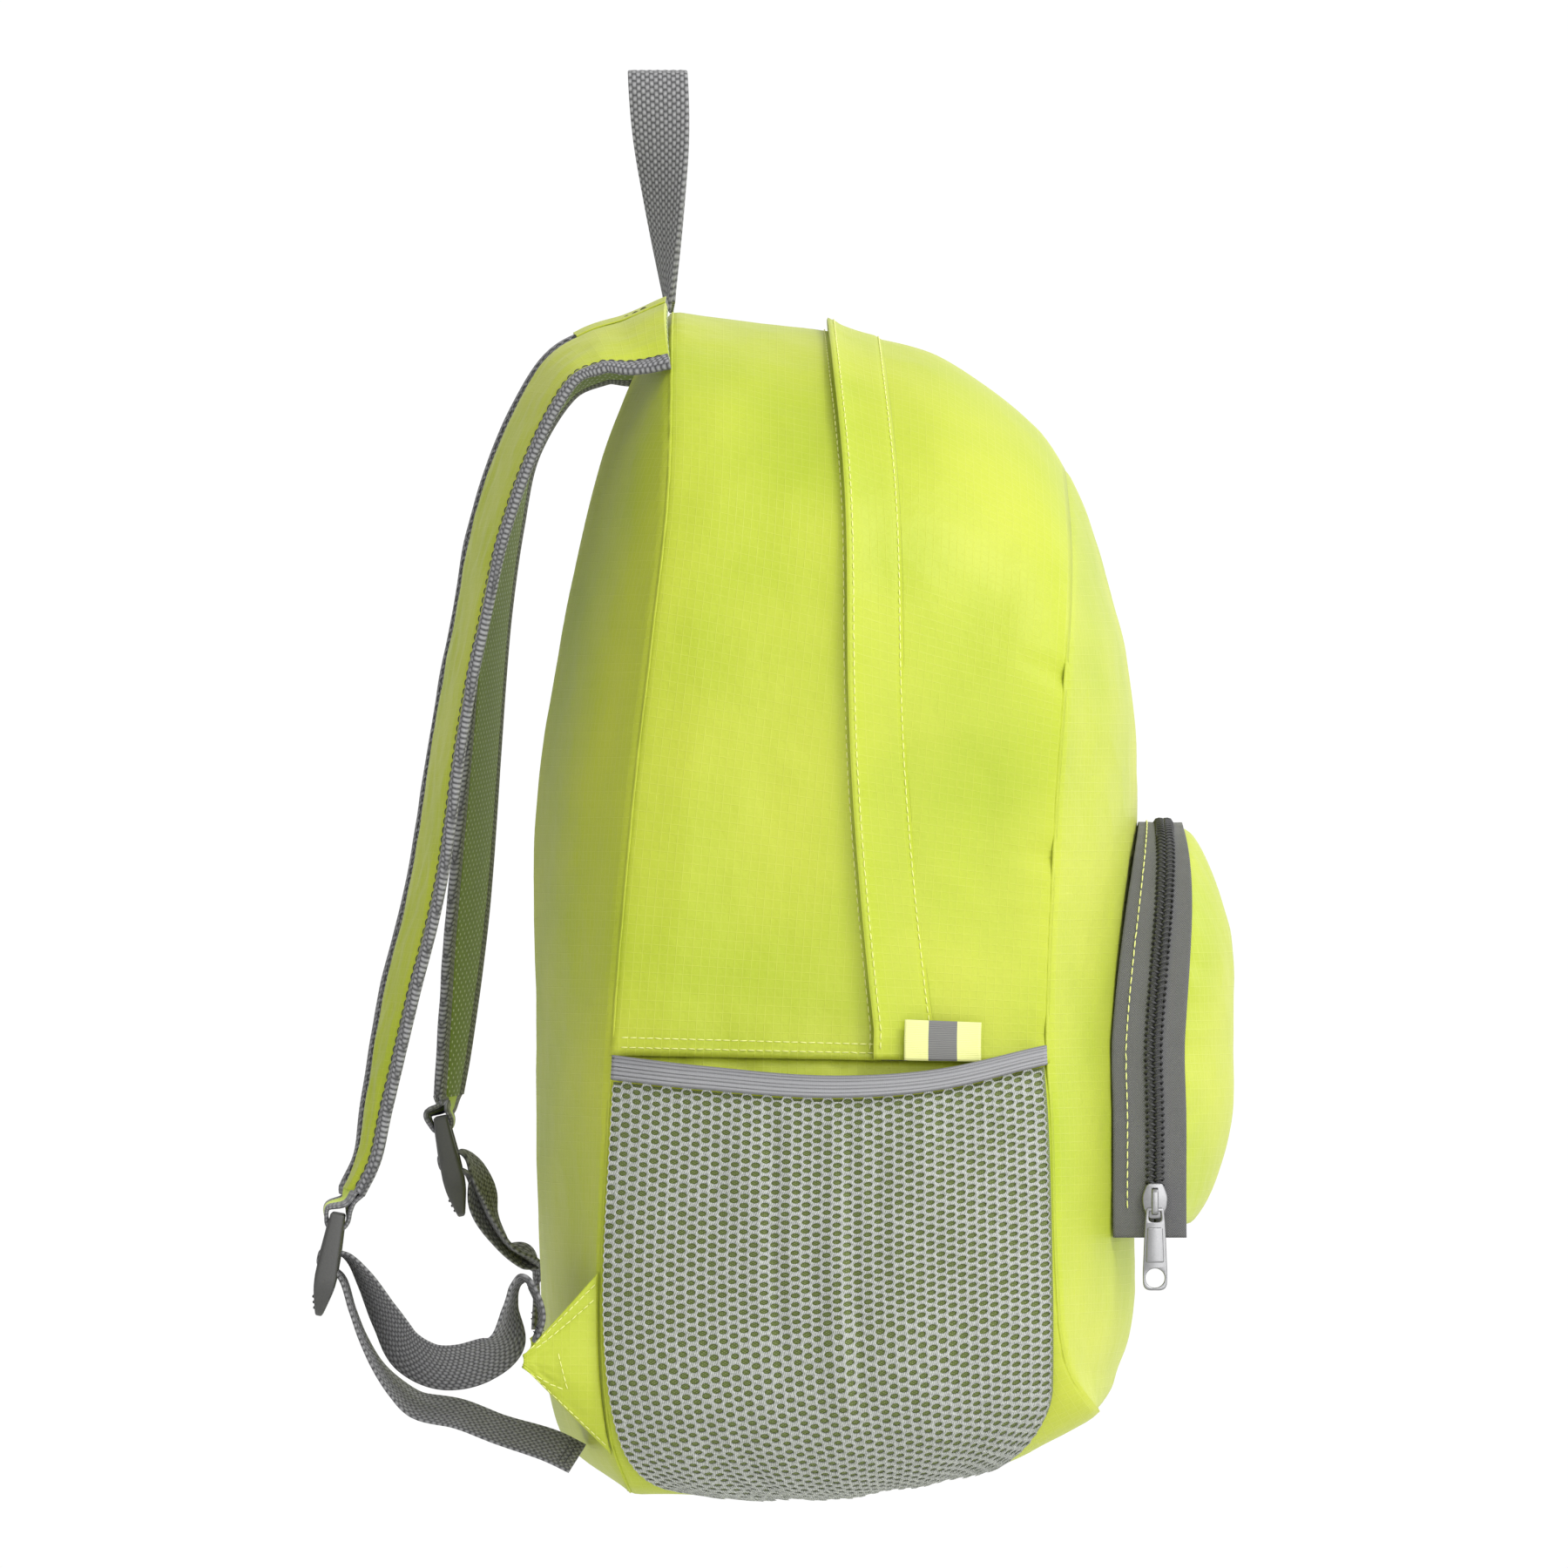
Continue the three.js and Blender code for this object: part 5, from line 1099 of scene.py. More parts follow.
def netPocket(sign, label):
    width, height = 154.0, 172.0
    a, b = pocket["column"], pocket["row"]
    x1, x2 = (a * a - b * b / 4) / (2 * a), (a * a + b * b / 4) / (2 * a)
    hexagon = np.array([[x2, 0], [x1, b / 2], [-x1, b / 2], [-x2, 0], [-x1, -b / 2], [x1, -b / 2]])
    angles = np.arctan2(hexagon[:, 1], hexagon[:, 0])
    ring = np.empty(12)
    ring[0::2] = angles
    ring[1::2] = np.arctan2(*((hexagon + np.roll(hexagon, -1, 0)) / 2).T[::-1])
    hole = np.stack([np.cos(ring) * a * pocket["holeWide"], np.sin(ring) * b * pocket["holeTall"]], -1)
    draw = np.random.default_rng(5 + (sign > 0))
    centres = []
    for i in range(int(width / a) + 1):
        for j in range(int(height / b) + 2):
            x, y = (i + 0.5) * a, (j + 0.5 * (i % 2)) * b
            if 1.0 < x < width - 1.0 and 0.6 < y < height - 0.6:
                centres.append((x, y))
    centres = np.array(centres)
    n = len(centres)
    corners = centres[:, None] + hexagon
    size = 0.92 + 0.14 * draw.random((n, 1, 1))
    holes = centres[:, None] + hole * size + draw.normal(size=(n, 1, 2)) * 0.06
    limit = lambda p, m: np.stack([np.clip(p[..., 0], m, width - m), np.clip(p[..., 1], m, height - m)], -1)
    corners, holes = limit(corners, 0.0), limit(holes, 0.35)
    flat = np.concatenate([corners, holes], 1)
    lift = np.concatenate([np.full((n, 6), pocket["crown"]), np.zeros((n, 12))], 1)
    v, down = flat[..., 0] / width, flat[..., 1] / height
    front = pocketPoint(sign, v, down, lift)
    back = pocketPoint(sign, v, down, -pocket["thick"] + lift * 0.2)
    points = np.concatenate([front, back], 1).reshape(-1, 3)
    cut = np.concatenate([flat, flat], 1).reshape(-1, 2)
    cell = []
    for k in range(6):
        m, h0, h1, h2 = (k + 1) % 6, 6 + 2 * k, 7 + 2 * k, 6 + (2 * k + 2) % 12
        cell += [[k, m, h1, h0], [m, h2, h1]]
    under = [[c + 18 for c in reversed(f)] for f in cell]
    walls = [[6 + k, 6 + (k + 1) % 12, 24 + (k + 1) % 12, 24 + k] for k in range(12)]
    pattern = cell + under + walls
    faces = []
    for c in range(n):
        base = c * 36
        faces += [[base + k for k in (f if sign < 0 else f[::-1])] for f in pattern]
    piece = addPiece("net_pocket_" + label, points, faces, netLook, cut, nodes=("mesh_pocket_" + label,), slot="net")
    clean(piece, 180)
    # A dark olive sheet just behind the net: painted shadow of the net's threads on the cloth behind it
    v, down = np.meshgrid(np.linspace(0.004, 0.996, 90), np.linspace(0.004, 0.996, 90))
    back = pocketPoint(sign, v, down, -pocket["shadowSheetDepth"])
    cut = np.stack([down * height, v * width], -1)
    if sign > 0:
        back, cut = back[:, ::-1], cut[:, ::-1]
    clothGrid("net_backing_" + label, back, cut, 0.3, netShadowSheet, slot="net")


def elasticBand(sign, label):
    v = np.linspace(0, 1, 120)
    low = np.linspace(-0.02, 1.05, 22)
    across = meshEdge[0, 1] + (meshEdge[0, 2] - meshEdge[0, 1]) * v
    turn = elasticTop(v)[None] + low[:, None] * elasticTurn
    rib = 0.18 * np.cos(low * 2 * math.pi * 5.5)[:, None]
    wave = 0.35 * field.at(along1d(v * 160, 71 + sign), 11)[None]
    away = 2 * gap + pocket["elasticWall"] + 0.9 + pocketStand(across, 0 * v)[None] + rib + wave * (0.3 + low[:, None])
    points = bandPoint(sign * turn, across[None] + 0 * turn, away)
    cut = np.stack([np.broadcast_to(v[None] * 160, turn.shape), np.broadcast_to(low[:, None] * pocket["elastic"], turn.shape)], -1)
    if sign > 0:
        points, cut = points[:, ::-1], cut[:, ::-1]
    clothGrid("pocket_elastic_" + label, points, cut, pocket["elasticWall"], elasticLook,
              nodes=("elastic_" + label,), slot="elastic")
    vs = np.linspace(0.01, 0.99, 150)
    acrossS = meshEdge[0, 1] + (meshEdge[0, 2] - meshEdge[0, 1]) * vs
    line = bandPoint(sign * (elasticTop(vs) + 0.8 * elasticTurn), acrossS,
                     2 * gap + pocket["elasticWall"] + 1.12 + pocketStand(acrossS, 0 * vs))
    stitchRow("pocket_stitches_" + label, line, outwardAt(sign * (elasticTop(vs))), pitch=4.6, length=1.5,
              radius=0.2, colour=greyThread, arch=0.05, seed=14)


# Net is sewn to the bag along its sides and foot; its hem lies under the elastic
for sign, label in ((1, "left"), (-1, "right")):
    netPocket(sign, label)
    elasticBand(sign, label)

# Two rows of stitches along the hem over each pocket
for sign, label in ((1, "left"), (-1, "right")):
    for k, lift in enumerate((3.0, 6.6)):
        acrossHem = np.linspace(0.02, float(flapRows[0, 1]) + 0.08, 120)
        t = float(sideTurn(hemShare + lift / bag["height"]))
        line = bandPoint(sign * t + 0 * acrossHem, acrossHem, 1.35 + 0.25 * field.at(along1d(acrossHem * 150, 33 + k), 9))
        stitchRow(f"hem_stitches_{label}_{k}", line, outwardAt(sign * t + 0 * acrossHem), pitch=3.1, length=2.5,
                  radius=0.24, seed=60 + k)

ribbonTab = {"length": 28, "height": 17, "wall": 0.8}
tabTurns = [float(sideTurn(hemShare + (ribbonTab["height"] + gap) / bag["height"])),
            float(sideTurn(hemShare + gap / bag["height"]))]
tabStart = flapRows[0, 1] + band["flap"] / bag["depth"] / 2
for sign, label in ((1, "left"), (-1, "right")):
    t = np.linspace(*tabTurns, 16)
    v = np.linspace(0, 1, 30)
    across = tabStart + v * ribbonTab["length"] / bag["depth"]
    sway = 0.5 * np.sin(v * 5 + 0.6)[None] * np.linspace(1, 0.4, 16)[:, None] + 0.35 * (v[None] - 0.5) ** 2
    away = 1.5 + 1.4 + 2 * gap + 1.4 + 0.75 + sway
    points = bandPoint(sign * t[:, None], across[None], away)
    cut = np.stack([np.broadcast_to(np.linspace(0, 17, 16)[:, None], points.shape[:2]),
                    np.broadcast_to((v[None] - 0.5) * ribbonTab["length"], points.shape[:2])], -1)
    if sign < 0:
        points, cut = points[:, ::-1], cut[:, ::-1]
    clothGrid("ribbon_tab_" + label, points, cut, ribbonTab["wall"], ribbonLook, nodes=("zip_tab_" + label,), slot="ribbon")
print("side pockets made")

# Sewn cloth triangles at the lower corners that hold the webbing
anchor = {"top": 0.188, "height": 64, "reach": 27, "fold": 0.5, "blunt": 0.2, "wall": 1.0}
anchorFoot = anchor["top"] - anchor["height"] / bag["height"]
anchorTurns = (float(sideTurn(anchor["top"])), outline["sideEnd"] + (outline["cornerEnd"] - outline["sideEnd"]) * anchor["fold"])


def anchorApex(side):
    height = (anchor["top"] + anchorFoot) / 2
    z = backSeam["top"] - bag["height"] * (1 - height)
    return np.array([side * halfPack, float(seamY(backSeam, height)) + anchor["reach"], z])


def anchorPoint(side, share, v, off=0.0):
    t = anchorTurns[0] + share * (anchorTurns[1] - anchorTurns[0])
    foot = seamPoint(backSeam, -side * t) + np.array([0, gap, 0])
    tip = anchorApex(side) + np.stack([0 * share, 0 * share, (0.5 - share) * anchor["reach"] * anchor["blunt"]], -1)
    point = foot + (tip - foot) * (1 - v)[..., None]
    puff = 1.1 * np.sin(math.pi * np.clip(share, 0, 1)) * np.sin(math.pi * np.clip(v, 0, 1))
    return point + np.array([side, 0, 0]) * (puff + off)[..., None]


for side, label in ((-1, "left"), (1, "right")):
    share, v = np.meshgrid(np.linspace(0, 1, 60), np.linspace(-0.02, 1, 30), indexing="ij")
    ruffle = 0.35 * field.at(np.stack([share * 9, v * 3, 0 * v + side], -1), 1.0)
    border = np.minimum(share, 1 - share) * anchor["height"] * v
    fold = 0.45 / (1 + np.exp(np.minimum((border - 3.2) / 0.3, 50)))
    points = anchorPoint(side, share, v, ruffle + fold)
    cut = np.stack([points[..., 2], points[..., 1]], -1)
    if side > 0:
        points, cut = points[:, ::-1], cut[:, ::-1]
    clothGrid("anchor_cloth_" + label, points, cut, anchor["wall"], nylon, nodes=("anchor_tab_" + label,))
    normal = np.array([side, 0, 0])
    for k, (shares, vs) in enumerate((((0.045, 0.045), (0.05, 0.98)), ((0.16, 0.12), (0.12, 0.98)),
                                      ((0.955, 0.955), (0.05, 0.98)), ((0.85, 0.72), (0.12, 0.55)),
                                      ((0.35, 0.72), (0.45, 0.55)))):
        s, w = np.linspace(*shares, 30), np.linspace(*vs, 30)
        line = anchorPoint(side, s, w, 0.55 + 0 * s)
        stitchRow(f"anchor_stitches_{label}_{k}", line, np.broadcast_to(normal, line.shape), pitch=2.8, length=2.3,
                  radius=0.2, seed=20 + k)
print("anchors made")


# A path's frames: where it is, the way of its width, its outer way, and the length so far
def framesAlong(pathAt, count, sineAt=None, acrossAt=None):
    us = np.linspace(0, 1, count + 1)
    at = pathAt(us)
    along = unit(pathAt(np.minimum(us + 0.004, 1)) - pathAt(np.maximum(us - 0.004, 0)))
    if acrossAt is None:
        normal = unit(np.stack([0 * us, -along[:, 2], along[:, 1]], -1))
        sine = sineAt(us)[:, None]
        across = np.cross(along, normal) * np.sqrt(1 - sine * sine) + normal * sine
    else:
        across = acrossAt(us)
    across = unit(across - along * (across * along).sum(-1, keepdims=True))
    length = np.concatenate([[0], np.cumsum(np.linalg.norm(np.diff(at, axis=0), axis=1))])
    return {"u": us, "at": at, "across": across, "up": np.cross(across, along), "along": along, "length": length}


# A ring of (across, level) pairs swept along frames; ring is (stations, k, 2)
def sweep(name, frames, ring, material, sharp=50, skew=None, **facts):
    rows, k = ring.shape[:2]
    points = frames["at"][:, None] + frames["across"][:, None] * ring[..., :1] + frames["up"][:, None] * ring[..., 1:]
    if skew is not None:
        points = points + frames["along"][:, None] * skew(ring[..., 0])[..., None]
    index = np.arange(rows * k).reshape(rows, k)
    a, b = index[:-1], index[1:]
    quads = np.stack([a, b, np.roll(b, -1, 1), np.roll(a, -1, 1)], -1).reshape(-1, 4).tolist()
    caps = [index[0].tolist(), index[-1, ::-1].tolist()]
    cut = np.stack([np.broadcast_to(frames["length"][:, None], ring.shape[:2]), ring[..., 0]], -1)
    piece = addPiece(name, points.reshape(-1, 3), quads + caps, material, cut.reshape(-1, 2), **facts)
    clean(piece, sharp)
    return piece


# Cross-section of a flat length: its two faces with rounded edges; low and high take the place across
def flatRing(left, right, low, high, count=14, soft=0.5):
    left, right = np.broadcast_arrays(np.asarray(left, float), np.asarray(right, float))
    s = (1 - np.cos(np.linspace(0, math.pi, count + 1))) / 2
    place = left[:, None] + (right - left)[:, None] * s
    edge = np.minimum(place - left[:, None], right[:, None] - place)
    lows, highs = low(place) + 0 * place, high(place) + 0 * place
    middle, half = (lows + highs) / 2, (highs - lows) / 2
    bow = half * np.sqrt(np.clip(1 - (1 - np.minimum(edge / (half * 2 * soft), 1)) ** 2, 0, 1))
    upper = np.stack([place, middle + np.maximum(bow, 0.02)], -1)
    lower = np.stack([place, middle - np.maximum(bow, 0.02)], -1)
    return np.concatenate([upper, lower[:, ::-1]], 1)


def placed(rows):
    return np.column_stack([np.linspace(0, 1, len(rows)), rows])


# A smooth curve through points in three dimensions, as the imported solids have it
def smoothPath(points):
    points = np.asarray(points, float)
    whole = np.concatenate([[2 * points[0] - points[1]], points, [2 * points[-1] - points[-2]]])
    step = np.linalg.norm(np.diff(whole, axis=0), axis=1) ** 0.5

    def at(us):
        spot = np.clip(us, 0, 1) * (len(points) - 1)
        i = np.minimum(spot.astype(int), len(points) - 2)
        w = (spot - i)[:, None]
        p0, p1, p2, p3 = (whole[i + k] for k in range(4))
        d0, d1, d2 = (step[i + k][:, None] for k in range(3))
        m1 = ((p1 - p0) / d0 - (p2 - p0) / (d0 + d1) + (p2 - p1) / d1) * d1
        m2 = ((p2 - p1) / d1 - (p3 - p1) / (d1 + d2) + (p3 - p2) / d2) * d1
        return (p1 + m1 * w + (-3 * p1 + 3 * p2 - 2 * m1 - m2) * w ** 2 + (2 * p1 - 2 * p2 + m1 + m2) * w ** 3)
    return at


def stitchesOn(name, frames, place, level, start=0.0, stop=1.0, **facts):
    keep = (frames["u"] >= start) & (frames["u"] <= stop)
    line = frames["at"] + frames["across"] * np.reshape(place, (-1, 1)) + frames["up"] * np.reshape(level, (-1, 1))
    return stitchRow(name, line[keep], frames["up"][keep], **facts)


strap = {"width": 58, "root": 54, "pad": 2.4, "under": 0.8, "bind": 6.5, "bindThick": 3.8, "end": 26,
         "fold": 1.6, "web": 22, "webThick": 1.5}
lock = {"width": 32, "length": 38, "thick": 4.2, "bar": 4, "upper": 11, "lower": 7, "side": 0.7, "foot": 0.3}
nearStrap = {"side": -1, "label": "left", "reach": 115, "drop": 311, "lockOut": 5.8, "lockDown": 9.5, "lean": 0.19,
             "tail": (16, 86.7, 67.5), "rows": table("""
    0 0.032 0 0.41 1 1
    0.0105 0.1227 0 0.355 1 0.8
    0.0187 0.2435 0.02 0.27 1 0.35
    0.045 0.3565 0.05 0.255 1 0
    0.1274 0.4762 0.1 0.25 1 0
    0.2242 0.5649 0.15 0.235 1 0
    0.3258 0.6214 0.2 0.21 0.98 0
    0.4513 0.6866 0.27 0.2 0.93 0
    0.6343 0.7616 0.36 0.22 0.8 0
    0.7714 0.8502 0.43 0.22 0.66 0
    0.8997 0.9194 0.49 0.17 0.5 0
    0.9582 0.9476 0.52 0.14 0.46 0
    1 0.9983 0.53 0.13 0.448 0"""), "run": table("""
    0.02 0.05 0 0.1
    0.12 0.28 0.05 0.3
    0.23 0.62 0.15 0.5
    0.35 0.93 0.3 0.68
    0.53 1.07 0.5 0.74
    0.73 1.02 0.7 0.74
    0.89 0.83 0.84 0.6
    0.915 0.5 0.9 0.2
    0.95 0.3 0.94 0.1
    1 0.25 0.97 0.1
    1.06 0.4 1 0.1
    1.09 0.6 1 0.08
    1.05 0.83 1 0.05"""), "tailRows": table("""
    0.01 0.03 0 0.05
    0.055 0.204 0.05 0.05
    0.1 0.355 0.1 0.08
    0.166 0.51 0.2 0.15
    0.255 0.64 0.3 0.3
    0.336 0.715 0.4 0.42
    0.506 0.763 0.6 0.45
    0.675 0.844 0.8 0.45
    0.886 0.93 0.95 0.5
    1 1 1 0.5""")}
farStrap = {"side": 1, "label": "right", "reach": 83, "drop": 278, "lockOut": 3.3, "lockDown": 9.5, "lean": -0.21,
            "tail": (26, 34, 42), "rows": table("""
    0 0.042 0 0.41 1 1
    0.017 0.165 0 0.355 1 0.8
    0.026 0.335 0.02 0.27 1 0.35
    0.058 0.51 0.05 0.24 1 0
    0.142 0.672 0.1 0.225 1 0
    0.244 0.742 0.15 0.215 1 0
    0.357 0.79 0.2 0.2 0.98 0
    0.481 0.822 0.25 0.19 0.93 0
    0.693 0.88 0.34 0.22 0.8 0
    0.805 0.915 0.4 0.22 0.68 0
    0.932 0.958 0.46 0.18 0.5 0
    1 0.985 0.49 0.14 0.448 0"""), "run": table("""
    0.03 0.02 0 0
    0.2 0.1 0.05 0.25
    0.33 0.26 0.15 0.5
    0.5 0.4 0.3 0.3
    0.75 0.52 0.55 0.15
    1 0.58 0.8 0.1
    1.06 0.72 1 0.05
    1.04 0.92 1 0.05"""), "tailRows": table("""
    0.02 0.03 0 0.05
    0.14 0.2 0.1 0.1
    0.26 0.42 0.2 0.15
    0.44 0.66 0.4 0.2
    0.67 0.8 0.7 0.2
    1 1 1 0.2""")}
foldTurns = table("""
    -0.9 1.1
    0.1 1
    0.75 0.7
    1 0
    0.75 -0.7
    0.1 -1
    -0.9 -0.9""")
webTurns = table("""
    -1.05 -0.3
    -1.05 0.55
    -0.7 1.05
    0 1.15
    0.7 1.05
    1.05 0.55
    1.05 -0.3""")
archZ = lambda x: backSeam["top"] - bag["height"] * (1 - archHeight(np.minimum(np.abs(x) / halfPack, 1)))
rootHalf = strap["width"] / 2 * math.sqrt(1 - 0.41 ** 2)
rootChord = float(archZ(strap["root"] - rootHalf) + archZ(strap["root"] + rootHalf)) / 2
rootZ = rootChord + strap["under"] + 3 * gap
rootCrown = float(archZ(strap["root"])) - rootChord


def makeStrap(s):
    side, label, rows = s["side"], s["label"], placed(s["rows"])

    def pathAt(us):
        return np.stack([side * (strap["root"] + curve(rows, 3, us) * strap["width"]),
                         -bag["loopLean"] + curve(rows, 2, us) * s["reach"],
                         rootZ - curve(rows, 1, us) * s["drop"]], -1)

    sineAt = lambda us: -side * curve(rows, 4, us) / curve(rows, 5, us)
    frames = framesAlong(pathAt, 220, sineAt)
    us, length = frames["u"], frames["length"]
    half = strap["width"] / 2 * curve(rows, 5, us)
    crown = rootCrown * curve(rows, 6, us)
    rise = lambda place: crown[:, None] * (1 - (place / half[:, None]) ** 2)
    padHalf = half - strap["bind"] + 0.6
    draw = along1d(length, 90 + side)

    # The root is cut on a slant, so that it meets the seam from edge to edge
    def slant(place):
        rows = len(place)
        share = (half[:rows, None] - side * place) / (2 * half[:rows, None])
        return -(0.8 + 6.2 * share) * np.exp(-(length[:rows, None] / 11) ** 2)

    # Quilting: the pad is drawn in by its bindings, and bulges a little between
    def top(place):
        inside = np.clip(1 - np.abs(place) / padHalf[:, None], 0, 1)
        bulge = 1.5 * (1 - (1 - np.minimum(inside / 0.55, 1)) ** 2) - 0.5
        wave = 0.55 * field.at(np.stack([place / 5, np.broadcast_to(length[:, None] / 11, place.shape),
                                         0 * place + side], -1), 1.0)
        return strap["pad"] + bulge + wave * np.minimum(inside * 5, 1) + rise(place)

    base = lambda place: 0.0 + rise(place)
    pad = sweep("strap_pad_" + label, frames, flatRing(-padHalf, padHalf, base, top, 26, 0.9), nylon,
                skew=slant, nodes=("strap_pad_" + label,))
    sweep("strap_lining_" + label, frames,
          flatRing(-padHalf, padHalf, lambda p: -gap - strap["under"] - 0.5 * (1 - (p / padHalf[:, None]) ** 2) + rise(p),
                   lambda p: -gap + rise(p), 20), dotted, skew=slant,
          nodes=("strap_underside_" + label,), slot="strap_mesh")
    low = (strap["pad"] - strap["under"] - gap - strap["bindThick"]) / 2
    uneven = 0.25 * field.at(draw, 14)[:, None]
    for way, which in ((side, "outer"), (-side, "inner")):
        ends = np.sort(np.stack([way * (half - strap["bind"]), way * half]), 0)
        sink = lambda p: 0.35 * np.exp(-((np.abs(p) - (half[:, None] - 5.2)) / 0.8) ** 2)
        ring = flatRing(ends[0], ends[1], lambda p: low + rise(p) + sink(p) * 0.6,
                        lambda p: low + strap["bindThick"] + rise(p) - sink(p) + uneven, 14, 0.42)
        sweep(f"binding_{which}_{label}", frames, ring, bindWeave, skew=slant, nodes=(f"binding_{which}_{label}",), slot="webbing")
        place = way * (half - 5.2)
        level = low + strap["bindThick"] + crown * (1 - (place / half) ** 2) - 0.22
        stitchesOn(f"binding_stitches_{which}_{label}", frames, place, level, 0.0, 1.0, pitch=3.4, length=2.5,
                   radius=0.24, colour=greyThread, seed=30)
    # Cloth of the yoke laps over the inner binding at the strap's root
    part = int(0.18 * 220)
    yoke = {key: value[:part] for key, value in frames.items()}
    edge, back = -side * (half[:part] + 0.5), -side * (half[:part] - 8.5)
    lap = lambda p: crown[:part, None] * (1 - (p / half[:part, None]) ** 2) + low + strap["bindThick"]
    sweep("strap_yoke_" + label, yoke, flatRing(np.minimum(edge, back), np.maximum(edge, back),
          lambda p: lap(p) - 0.2, lambda p: lap(p) + 0.5, 14), nylon, skew=slant)
    return frames, sineAt


def makeLock(s, frames, sineAt):
    end = {key: frames[key][-1] for key in ("at", "across", "up", "along")}
    side, label = s["side"], s["label"]
    top = end["at"] + np.array([0, s["lockOut"], -s["lockDown"]])
    down = np.array([0, math.sin(s["lean"]), -math.cos(s["lean"])])
    out = np.array([0, math.cos(s["lean"]), math.sin(s["lean"])])
    inLock = lambda d, o: top + np.multiply.outer(d, down) + np.multiply.outer(o, out)
    plateTop = lock["bar"] / 2
    foot = plateTop - lock["length"]
    w = lock["width"] / 2
    frameLoop = roundLoop([(-w, plateTop), (-w, foot * lock["side"]), (-w * 2 * lock["foot"], foot),
                           (w * 2 * lock["foot"], foot), (w, foot * lock["side"]), (w, plateTop)], [1.6, 4, 3, 3, 4, 1.6])
    slotHalf = strap["end"] / 2 + gap
    lowerTop = -plateTop - lock["upper"] - lock["bar"]
    box = lambda lo, hi: roundLoop([(-slotHalf, lo), (slotHalf, lo), (slotHalf, hi), (-slotHalf, hi)], 0.9)
    holes = [box(-plateTop - lock["upper"], -plateTop), box(lowerTop - lock["lower"], lowerTop)]
    rails = table("""
    0 1.25
    4 1.6
    12 1.85
    25.2 1.75
    36 0.6""")

    def moved(x, y, d):
        thick = float(curve(rails, 1, max(-y, 0)))
        share = min(max((abs(x) - slotHalf + 0.6) / 1.6, 0), 1) if -y < 25.2 else 1
        return inLock(-y, d * (1 + (thick - 1) * share)) + np.array([x, 0, 0])

    plate("ladder_lock_" + label, [frameLoop] + holes, lock["thick"], 0.9, moved, plastic, 3,
          nodes=("ladder_lock_" + label,), slot="buckle_plastic")
    ribs = [[(x, foot + 2.6) for x in np.linspace(-5.5, 5.5, 6)], [(x, foot + 4.6) for x in np.linspace(-7, 7, 6)],
            [(x, foot + 6.6) for x in np.linspace(-8, 8, 6)]]
    wires = np.array([[moved(x, y, lock["thick"] / 2 + 0.1) for x, y in rib] for rib in ribs])
    tubes("lock_ribs_" + label, wires, 0.55, 8, plastic, slot="buckle_plastic")

    round_ = math.hypot(lock["bar"], lock["thick"]) / 2 + gap + strap["fold"] / 2
    apart, middle = strap["fold"] / 2 + gap, (strap["pad"] - strap["under"]) / 2
    leg = lambda up, past: end["at"] + end["along"] * past + end["up"] * up
    points = [leg(middle + apart, -gap), leg(middle + apart, strap["bindThick"]),
              *inLock(foldTurns[:, 0] * round_, foldTurns[:, 1] * round_),
              leg(middle - apart, strap["bindThick"]), leg(middle - apart, -gap)]
    endSine = float(sineAt(np.array([1.0]))[0])
    fold = framesAlong(smoothPath(points), 90, lambda us: endSine * (1 - 2 * us) ** 3)
    sweep("strap_end_fold_" + label, fold,
          flatRing(0 * fold["u"] - strap["end"] / 2 + gap, 0 * fold["u"] + strap["end"] / 2 - gap,
                   lambda p: -strap["fold"] / 2, lambda p: strap["fold"] / 2, 16), foldedEnd,
          nodes=("buckle_loop_" + label,), slot="webbing")
    return inLock


def makeWebbing(s, inLock):
    side, label = s["side"], s["label"]
    barDown = lock["bar"] / 2 + lock["upper"] + lock["bar"] / 2
    webRound = lock["thick"] / 2 + gap + strap["webThick"] / 2
    beside = lock["bar"] / 2 + gap + strap["webThick"] / 2
    entry = inLock(barDown - beside - 0.5, -webRound * 1.4)
    leave = inLock(barDown + beside + 1, -webRound * 1.4)
    apex = anchorApex(side)
    apex[0] -= side * (anchor["wall"] + 2 * gap + strap["web"] / 2)
    spread, reach, drop = s["tail"]
    tailEnd = leave + np.array([side * spread, -reach, -drop])
    between = lambda a, b, rows: a + (b - a) * rows[:, [2, 0, 1]]
    points = np.concatenate([between(entry, apex, s["run"][::-1]),
                             inLock(barDown + webTurns[:, 0] * beside, webTurns[:, 1] * webRound),
                             between(leave, tailEnd, s["tailRows"])])
    lifts = np.concatenate([s["run"][::-1, 3], np.zeros(len(webTurns)), s["tailRows"][:, 3]])
    lifts = placed(lifts[:, None])
    frames = framesAlong(smoothPath(points), 420, lambda us: side * curve(lifts, 1, us))
    half = strap["web"] / 2
    ridge = lambda p: 0.14 * np.cos(p / half * math.pi * 5.5) * np.clip((half - np.abs(p)) / 2, 0, 1)
    ring = flatRing(0 * frames["u"] - half, 0 * frames["u"] + half, lambda p: -strap["webThick"] / 2 - ridge(p),
                    lambda p: strap["webThick"] / 2 + ridge(p), 44, 0.5)
    sweep("webbing_" + label, frames, ring, strapWeave, nodes=("adjuster_webbing_" + label,), slot="webbing")
    print("webbing", label, round(frames["length"][-1]), "mm long")
    # The free end is sewn across; the fixed end is sewn to its cloth triangle
    for k, at in enumerate((0.012, 0.02, 0.985, 0.992)):
        i = int(at * 420)
        across = np.linspace(-half + 1.5, half - 1.5, 20)[:, None]
        for way, face in ((1, "top"), (-1, "foot")):
            line = frames["at"][i] + frames["across"][i] * across + way * frames["up"][i] * (strap["webThick"] / 2 + 0.1)
            stitchRow(f"webbing_stitches_{label}_{face}_{k}", line, np.broadcast_to(way * frames["up"][i], line.shape),
                      pitch=2.6, length=2.0, radius=0.24, colour=greyThread, seed=40 + k)


